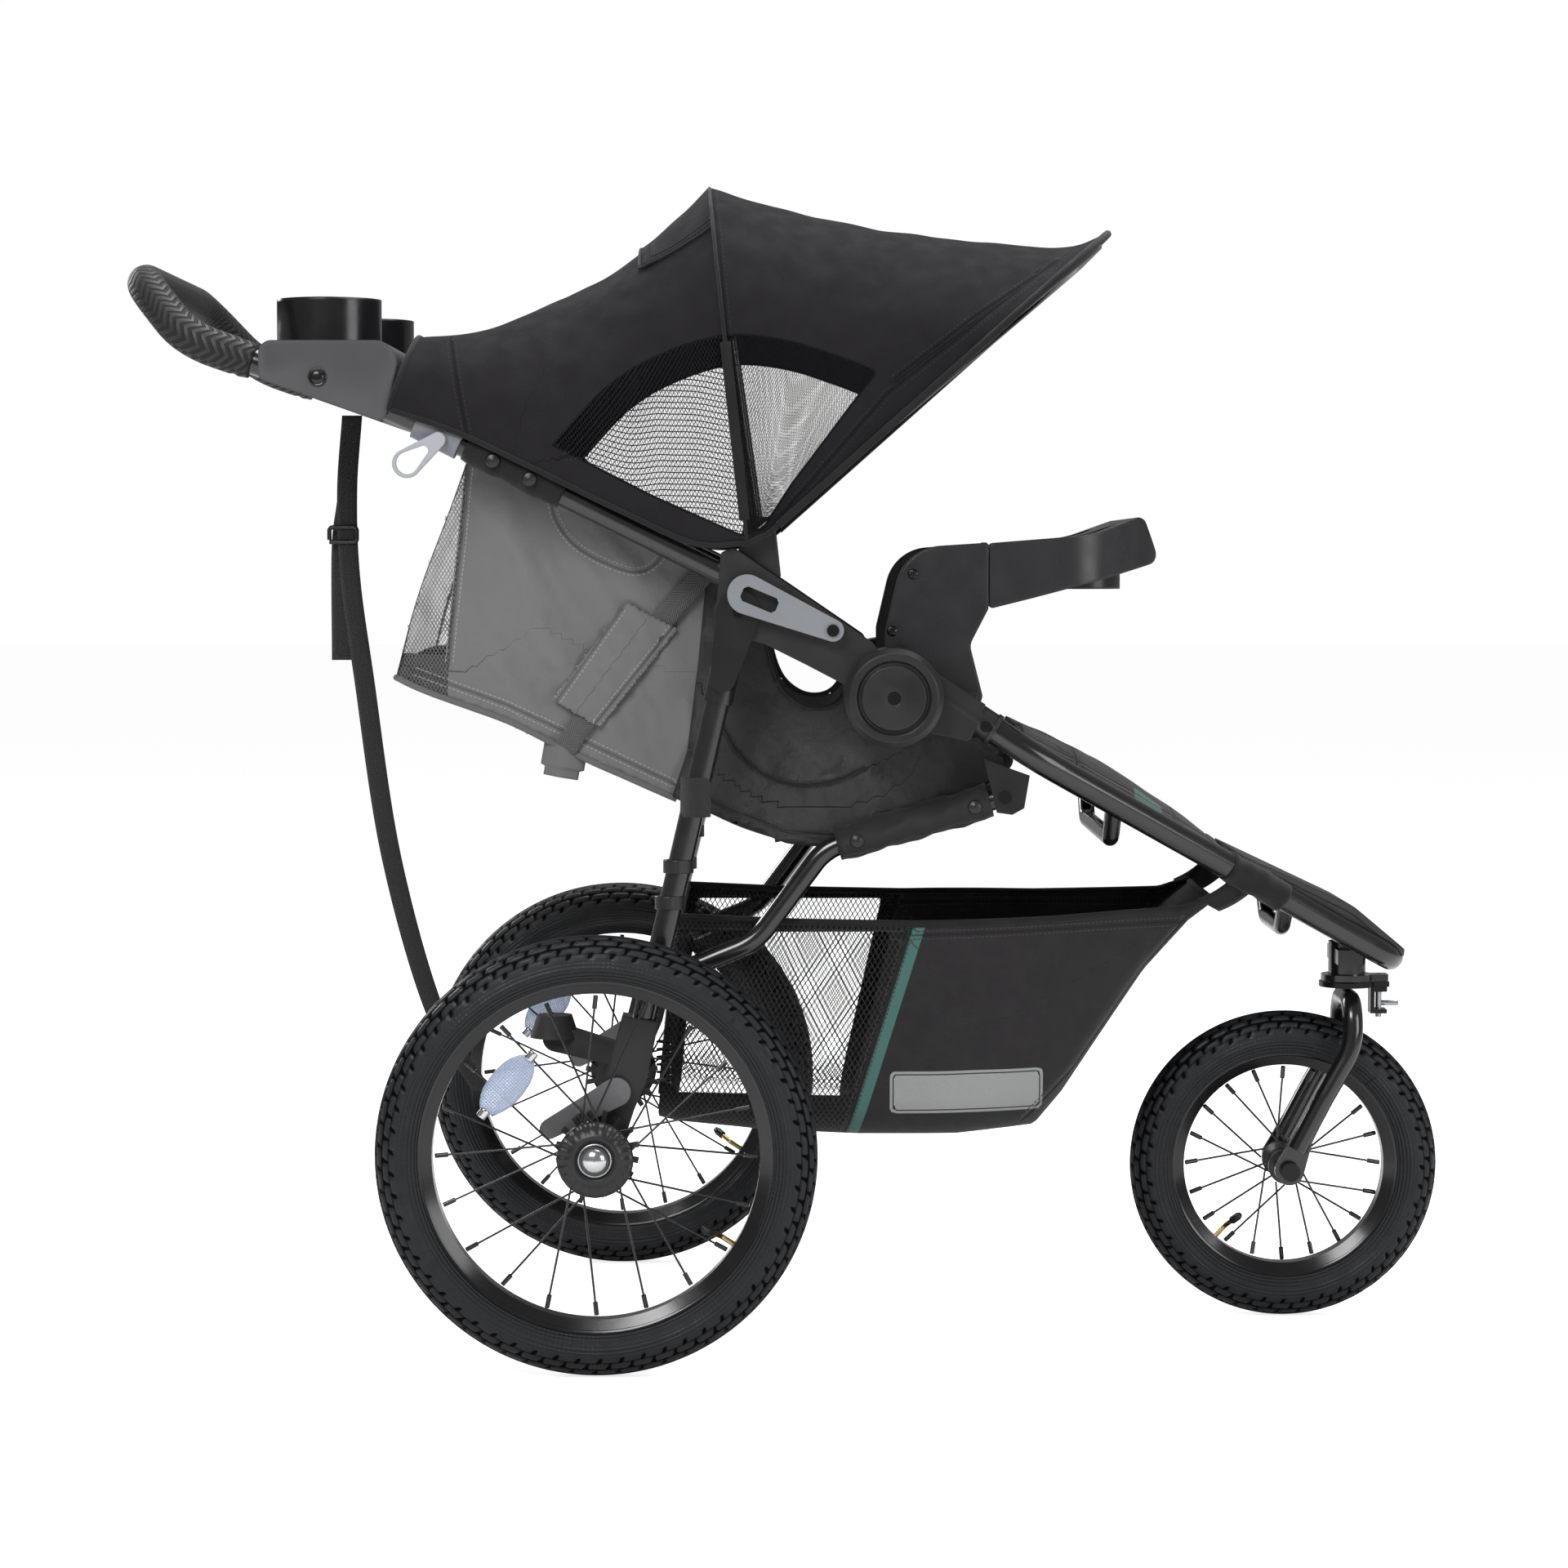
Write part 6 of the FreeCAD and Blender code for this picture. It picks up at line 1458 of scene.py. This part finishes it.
def make_lift_straps():
    """On each wall: webbing that runs through a sewn sleeve down to a buckle."""
    low_mid, high_mid = np.array((-0.022, 0.594)), np.array((0.0485, 0.684))
    along = (high_mid - low_mid) / np.hypot(*(high_mid - low_mid))
    across = np.array((along[1], -along[0]))
    outline = as_vectors([(0.025, 0.696), (0.072, 0.672), (0.000, 0.581), (-0.044, 0.607)])

    def puffed(x, z):
        way = (np.array((x, z)) - low_mid) @ across / 0.027
        pull = 0.0016 * ripple((x * 1.3, 0, z), 0.016, 4.0)
        return 0.0050 + 0.0045 * max(0.0, 1 - way * way) ** 0.5 + pull

    for label, side in SIDES:
        plane = side * (WALL_SIDE + 0.0072)
        sleeve = panel(
            f"seat_{label}_strap_sleeve", outline,
            lambda x, z: side * (WALL_SIDE + puffed(x, z)), cell=0.0025,
        )
        add_seams(sleeve, [[(0.022, 0.692), (-0.041, 0.604)], [(0.068, 0.674), (-0.003, 0.586)]])
        add_fields(sleeve, net=1, clear=1)
        dress(sleeve, "seat_grey")
        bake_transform(sleeve)
        wide = Vector((across[0], 0, across[1]))
        high = smooth_line([at(0.046, 0.666, plane), at(0.070, 0.694, plane), at(0.096, 0.724, plane)], 8)
        low = smooth_line([at(-0.008, 0.596, plane), at(-0.020, 0.580, plane), at(-0.032, 0.562, plane)], 8)
        for part, path in (("upper", high), ("lower", low)):
            web = strap(f"seat_{label}_lift_strap_{part}", path, 0.021, wide)
            dress(web, "webbing_grey")
            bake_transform(web)
        inner = side * (WALL_SIDE - 0.001)
        line = [at(-0.0315 - 0.0055 * k / 20, 0.566 - 0.031 * k / 20, inner) for k in range(21)]
        length = lengths(line)[-1]

        def square(way, turn):
            corner = (abs(math.cos(turn)) ** 5 + abs(math.sin(turn)) ** 5) ** -0.2
            return 0.0165 * corner * (0.80 if way > length * 0.72 else 1.0)

        buckle = sweep(f"seat_{label}_strap_buckle", line, square, 40)
        flatten(buckle, Vector((0, 1, 0)), line, 0.42)
        fit(buckle, "buckle_grey", "seat_back")


def make_harness():
    """Shoulder straps with pads, a crotch strap and the buckle's shell."""
    slope, up = back_directions()
    low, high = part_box("harness")
    across = Vector((0, 1, 0))
    head = Vector((low.x + 0.010, 0, high.z + 0.004))
    foot = Vector((high.x - 0.028, 0, low.z + 0.018))
    for label, side in SIDES:
        path = []
        for k in range(40):
            t = k / 39
            lift = 0.004 + 0.002 * math.sin(3 * math.pi * t)
            spread = side * (0.055 - 0.030 * max(0.0, (t - 0.6) / 0.4))
            path.append(head.lerp(foot, t) + up * lift + across * spread)
        web = fit(strap(f"harness_{label}_shoulder", path, 0.025, across), "webbing", "seat_back")
        if label == "right":
            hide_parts("harness")
        pad_line = path[4:24]
        shell = sweep(f"harness_{label}_pad", [p + up * 0.001 for p in pad_line], lambda way, turn: 0.0225, 32)
        flatten(shell, up, pad_line, 0.22)
        fit(shell, "pad_black", "seat_back")
    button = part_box("buckle_button")
    centre = (button[0] + button[1]) / 2
    shell = lathe("harness_buckle_shell", [
        (0.0114, 0.0050), (0.0135, 0.0066), (0.0230, 0.0060), (0.0290, 0.0030), (0.0300, -0.0040),
        (0.0270, -0.0070), (0.0114, -0.0072), (0.0114, 0.0050),
    ], centre - up * 0.002, up, 72)
    fit(shell, "buckle_black", "seat_back")
    crotch = [centre + slope * (0.022 + 0.004 * k) - up * (0.006 + 0.0006 * k) for k in range(12)]
    fit(strap("harness_crotch_strap", crotch, 0.030, across), "webbing", "seat_back")


def flatten(thing, up, line, keep):
    """Squeeze a swept piece towards its centre line along one direction."""
    centres = np.array([list(p) for p in line])
    points = mesh_places(thing)
    normal = np.array(up)
    nearest = np.argmin(((points[:, None, :] - centres[None]) ** 2).sum(2), axis=1)
    lift = ((points - centres[nearest]) @ normal)
    move_places(thing, points - normal * (lift * (1 - keep))[:, None])


def make_seat_sleeves():
    """The cloth sleeves that button around the seat frame tubes."""
    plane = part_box("seat_frame")[1].y - 0.0095
    for label, side in SIDES:
        line = [at(0.358 - 0.140 * k / 30, 0.5140 - 0.0402 * k / 30, side * plane) for k in range(31)]
        sleeve = tube_sleeve(
            f"{label}_seat_sleeve", line, 0.0150, "seat_black_sleeve", "seat_frame", 0.0022,
        )
        outer = side * (plane + 0.0150)
        pressed = [sleeve, snap(f"{label}_seat_sleeve_snap_rear", at(0.236, 0.478, outer), "seat_frame"),
                   snap(f"{label}_seat_sleeve_snap_front", at(0.344, 0.509, outer), "seat_frame")]
        for piece in pressed:
            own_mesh(piece)


# ---------------------------------------------------------------------------
# Basket and calf panel
# ---------------------------------------------------------------------------
BASKET_RIM = [(0.070, 0.406), (0.180, 0.401), (0.289, 0.399), (0.420, 0.401), (0.544, 0.407), (0.576, 0.418)]
BASKET_FLOOR = [(0.050, 0.216), (0.070, 0.211), (0.150, 0.203), (0.237, 0.199), (0.330, 0.199), (0.404, 0.205),
                (0.430, 0.234), (0.458, 0.274), (0.508, 0.345), (0.550, 0.396), (0.576, 0.4165)]
BASKET_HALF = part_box("basket")[1].y
BASKET_NOSE_HALF = 0.108


def basket_half(ahead):
    """Half width: straight at the back, narrowing to the nose."""
    t = max(0.0, min(1.0, (ahead - 0.30) / 0.28))
    return BASKET_HALF + (BASKET_NOSE_HALF - BASKET_HALF) * (t * t * (3 - 2 * t)) - 0.001


def height_on(line, ahead):
    points = sorted(line)
    for (a, low), (b, high) in zip(points, points[1:]):
        if a <= ahead <= b:
            return low + (high - low) * (ahead - a) / (b - a)
    return points[0][1] if ahead < points[0][0] else points[-1][1]


def basket_section(rim_at, floor_at, columns):
    """One U across the basket, right rim to left rim, with rounded, sagging corners."""
    rim_up = height_on(BASKET_RIM, rim_at)
    floor_up = height_on(BASKET_FLOOR, floor_at)
    half = basket_half((rim_at + floor_at) / 2)
    depth = max(0.0005, rim_up - floor_up)
    row = []
    for side, fall in u_section(depth, half, min(0.040, depth * 0.7), columns):
        down = min(1.0, fall / depth)
        ahead, up = rim_at + (floor_at - rim_at) * down, rim_up - fall
        crease = 0.0035 * ripple((ahead * 1.2, abs(side) * 0.3, up * 0.8), 0.055, 9.0)
        billow = (0.006 * min(1.0, depth / 0.1) + crease) * math.sin(math.pi * down)
        row.append(at(ahead, up, side * (1 + billow / half)))
    return row


def make_basket():
    """A lofted cloth shell: net sides and back, solid nose, bound rim and teal stripe."""
    columns = 150
    grid = []
    rows = 110
    for i in range(rows):
        t = i / (rows - 1)
        grid.append(basket_section(0.071 + 0.503 * t, 0.052 + 0.522 * t, columns))
    shell = grid_sheet("basket_shell", grid, 0.0013)
    rear_rows = []
    for i in range(34):
        t = i / 33
        half = basket_half(0.06) - (0.0 if t < 0.75 else 0.030 * ((t - 0.75) / 0.25) ** 2)
        rear_rows.append([
            at(0.071 - 0.019 * t - 0.006 * math.sin(math.pi * t) * (1 - (s / half) ** 2), 0.4045 - 0.186 * t, s)
            for s in np.linspace(-half, half, 90)
        ])
    rear = grid_sheet("basket_rear_wall", rear_rows, 0.0013)
    net_area = [(0.0, 0.460), (0.286, 0.460), (0.2855, 0.400), (0.2195, 0.190), (0.207, 0.150), (0.0, 0.150)]
    clear_area = [(0.080, 0.392), (0.268, 0.392), (0.232, 0.248), (0.228, 0.240), (0.066, 0.243)]
    stripe_middle = [(0.2955, 0.4005), (0.2290, 0.190)]
    patch = [(0.267, 0.226), (0.267, 0.2595), (0.270, 0.2625), (0.407, 0.2635), (0.410, 0.2605), (0.410, 0.227),
             (0.407, 0.224), (0.270, 0.223)]
    seams = [[(0.060, 0.392), (0.289, 0.3885), (0.544, 0.3955)], [(0.2870, 0.400), (0.2210, 0.190)],
             [(0.392, 0.2145), (0.440, 0.262), (0.500, 0.345), (0.545, 0.398)]]
    places = side_places(shell)
    points = mesh_places(shell)
    floor = 1.0 * (np.abs(points[:, 1]) < 0.120)
    deep_area = [clear_area[0], clear_area[1], (0.214, 0.150), (0.060, 0.150)]
    right_wall = points[:, 1] < 0.034 - BASKET_HALF
    clear = np.where(right_wall, outline_field(places, clear_area), outline_field(places, deep_area))
    add_fields(shell, net=outline_field(places, net_area), clear=clear)
    signed, _ = line_fields(places, [stripe_middle])
    add_fields(shell, teal=np.abs(signed) - 0.0052 + floor, patch=outline_field(places, patch) + floor)
    add_seams(shell, seams, places)
    _, across, up = mesh_places(rear).T
    inset = np.maximum(np.abs(across) - (BASKET_HALF - 0.016), 0.236 - up)
    past_rim = up - 0.392
    add_fields(rear, net=-1, clear=np.maximum(inset, past_rim), teal=1, patch=1, seam=past_rim, along=across)
    for piece in (shell, rear):
        fit(piece, "basket", "front_frame")
    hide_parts("basket")
    edges = []
    for label, column in (("right", 0), ("left", -1)):
        edges.append((f"{label}_rim", [row[column] for row in grid], 0.0034, 14))
        edges.append((f"{label}_corner", [row[column] for row in rear_rows[:30]], 0.0024, 12))
    edges += [("rear_rim", rear_rows[0], 0.0034, 14), ("nose_rim", grid[-1], 0.0030, 12)]
    for part, path, radius, sides in edges:
        cord(f"basket_{part}", path, radius, "front_frame", "basket_cloth", sides=sides)


def frame_up(ahead):
    """Height of the front frame's straight side tubes."""
    return 0.554 + (0.352 - 0.554) * (ahead - 0.400) / (0.755 - 0.400)


def tube_place(ahead, side):
    """A place on a front frame side tube's centre line."""
    return at(ahead, frame_up(ahead), side * (0.210 - 0.174 * (ahead - 0.400) / 0.355))


def make_nose_ties():
    """The cloth loops that hang the basket's nose from the frame tubes."""
    for label, side in SIDES:
        loop = [tube_place(ahead, side) for ahead in np.linspace(0.585, 0.640, 23)]
        tube_sleeve(f"basket_{label}_nose_loop", loop, 0.0136, "binding", "front_frame", 0.0016)
        nose, tube = at(0.569, 0.4105, side * 0.1065), tube_place(0.600, side) - Vector((0, 0, 0.010))
        path = [nose.lerp(tube, k / 12) - Vector((0, 0, 0.002 * math.sin(math.pi * k / 12))) for k in range(13)]
        slant = (tube_place(0.640, side) - tube_place(0.585, side)).normalized()
        tie = strap(f"basket_{label}_nose_tie", path, 0.026, slant, 0.0020)
        fit(tie, "binding", "front_frame")


def make_calf_panel():
    """The padded leg cloth over the front frame, with its teal tab."""
    low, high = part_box("calf_panel")
    start, end = low.x - AXLE_X, high.x - AXLE_X
    rows = []
    for i in range(64):
        t = i / 63
        ahead = start - 0.012 + (end - start + 0.012) * t
        half = 0.182 - 0.086 * t
        lift = 0.0145 * math.sin(math.pi * min(1.0, 0.16 + 0.84 * t)) + 0.002
        row = []
        for side in np.linspace(-1, 1, 70):
            crown = 1 - abs(side) ** 5
            hollow = 0.004 * math.exp(-(side / 0.5) ** 2)
            crease = 0.0030 * ripple((ahead, side * 0.08, 0), 0.032, 8.0) * crown
            up = frame_up(ahead) + 0.012 + lift * crown - hollow - 0.010 * (1 - crown) + crease
            row.append(at(ahead, up, side * half))
        rows.append(row)
    sheet = grid_sheet("calf_panel_cloth", rows, 0.0030)
    places = np.array([(p.x - AXLE_X, abs(p.y)) for row in rows for p in row])
    tab = [(0.497, 0.100), (0.524, 0.094), (0.524, 0.180), (0.497, 0.180)]
    add_fields(sheet, teal=outline_field(places, tab))
    seams = [[(start, 0.150), (end, 0.078)], [(0.440, 0.0), (0.440, 0.148)], [(0.535, 0.0), (0.535, 0.108)]]
    add_seams(sheet, seams, places)
    fit(sheet, "calf_black", "front_frame")
    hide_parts("calf_panel")
    edges = (("right", [row[0] for row in rows]), ("left", [row[-1] for row in rows]), ("front", rows[-1]))
    for part, path in edges:
        cord(f"calf_panel_{part}_edge", path, 0.0024, "front_frame", "basket_cloth")


# ---------------------------------------------------------------------------
# Studio
# ---------------------------------------------------------------------------
CAMERA_PLACE = Vector((-0.01470, -3.60017, 0.73188))
CAMERA_TILT = 0.0592079
CAMERA_LENS = 85.449


def make_camera():
    data = bpy.data.cameras.new("camera")
    data.lens = CAMERA_LENS
    data.sensor_width = 36.0
    camera = bpy.data.objects.new("camera", data)
    camera.location = CAMERA_PLACE
    camera.rotation_euler = (math.pi / 2 - CAMERA_TILT, 0, 0)
    bpy.context.scene.collection.objects.link(camera)
    bpy.context.scene.camera = camera


def make_light(name, place, target, size, power):
    data = bpy.data.lights.new(name, "AREA")
    data.shape = "RECTANGLE"
    data.size, data.size_y = size
    data.energy = power
    light = bpy.data.objects.new(name, data)
    light.location = place
    light.rotation_euler = (Vector(target) - Vector(place)).to_track_quat("-Z", "Y").to_euler()
    bpy.context.scene.collection.objects.link(light)


def seen_by_camera(tree):
    """One for what the camera sees directly, zero for light that falls on things."""
    return tree.nodes.new("ShaderNodeLightPath").outputs["Is Camera Ray"]


def make_studio():
    """A white floor and sky that the camera sees evenly bright, and four soft lights."""
    floor_finish = Finish("studio_floor", rough=0.9)
    tone = floor_finish.mix(floor_finish.noise(0.8, 2.0), (0.90, 0.90, 0.90), (0.93, 0.93, 0.93))
    glow = floor_finish.times(seen_by_camera(floor_finish.tree), 0.76)
    floor_finish.finish(
        Base_Color=tone, Specular_IOR_Level=0.0, Emission_Color=(1.0, 1.0, 1.0), Emission_Strength=glow
    )
    floor = make_mesh(
        "studio_floor", [(-30, -30, 0), (30, -30, 0), (30, 30, 0), (-30, 30, 0)], [(0, 1, 2, 3)], smooth=False
    )
    floor.location.z = -0.0005
    floor.data.materials.append(floor_finish.material)
    world = bpy.data.worlds.new("studio")
    bpy.context.scene.world = world
    world.use_nodes = True
    background = world.node_tree.nodes["Background"]
    background.inputs["Color"].default_value = (1.0, 1.0, 1.0, 1.0)
    strength = world.node_tree.nodes.new("ShaderNodeMapRange")
    strength.inputs["To Min"].default_value = 0.24
    strength.inputs["To Max"].default_value = 1.0
    world.node_tree.links.new(seen_by_camera(world.node_tree), strength.inputs["Value"])
    world.node_tree.links.new(strength.outputs["Result"], background.inputs["Strength"])
    middle = (0, 0, 0.5)
    make_light("key", (-1.2, -2.6, 2.6), middle, (1.6, 1.2), 66)
    make_light("fill", (2.6, -2.0, 1.2), middle, (1.4, 1.4), 24)
    make_light("top", (0.2, 0.4, 3.2), middle, (2.4, 1.6), 80)
    make_light("rim", (-2.2, 2.4, 1.8), middle, (1.2, 1.2), 40)
    bpy.context.scene.view_settings.view_transform = "Standard"


dress_cad()
make_wheels()
make_grip()
make_wrist_strap()
make_small_parts()
make_canopy()
make_canopy_flap()
make_seat_walls()
make_head_net()
make_pads()
make_back_shell()
make_lift_straps()
make_harness()
make_seat_sleeves()
make_basket()
make_nose_ties()
make_calf_panel()
make_footrest_skirt()
make_camera()
make_studio()
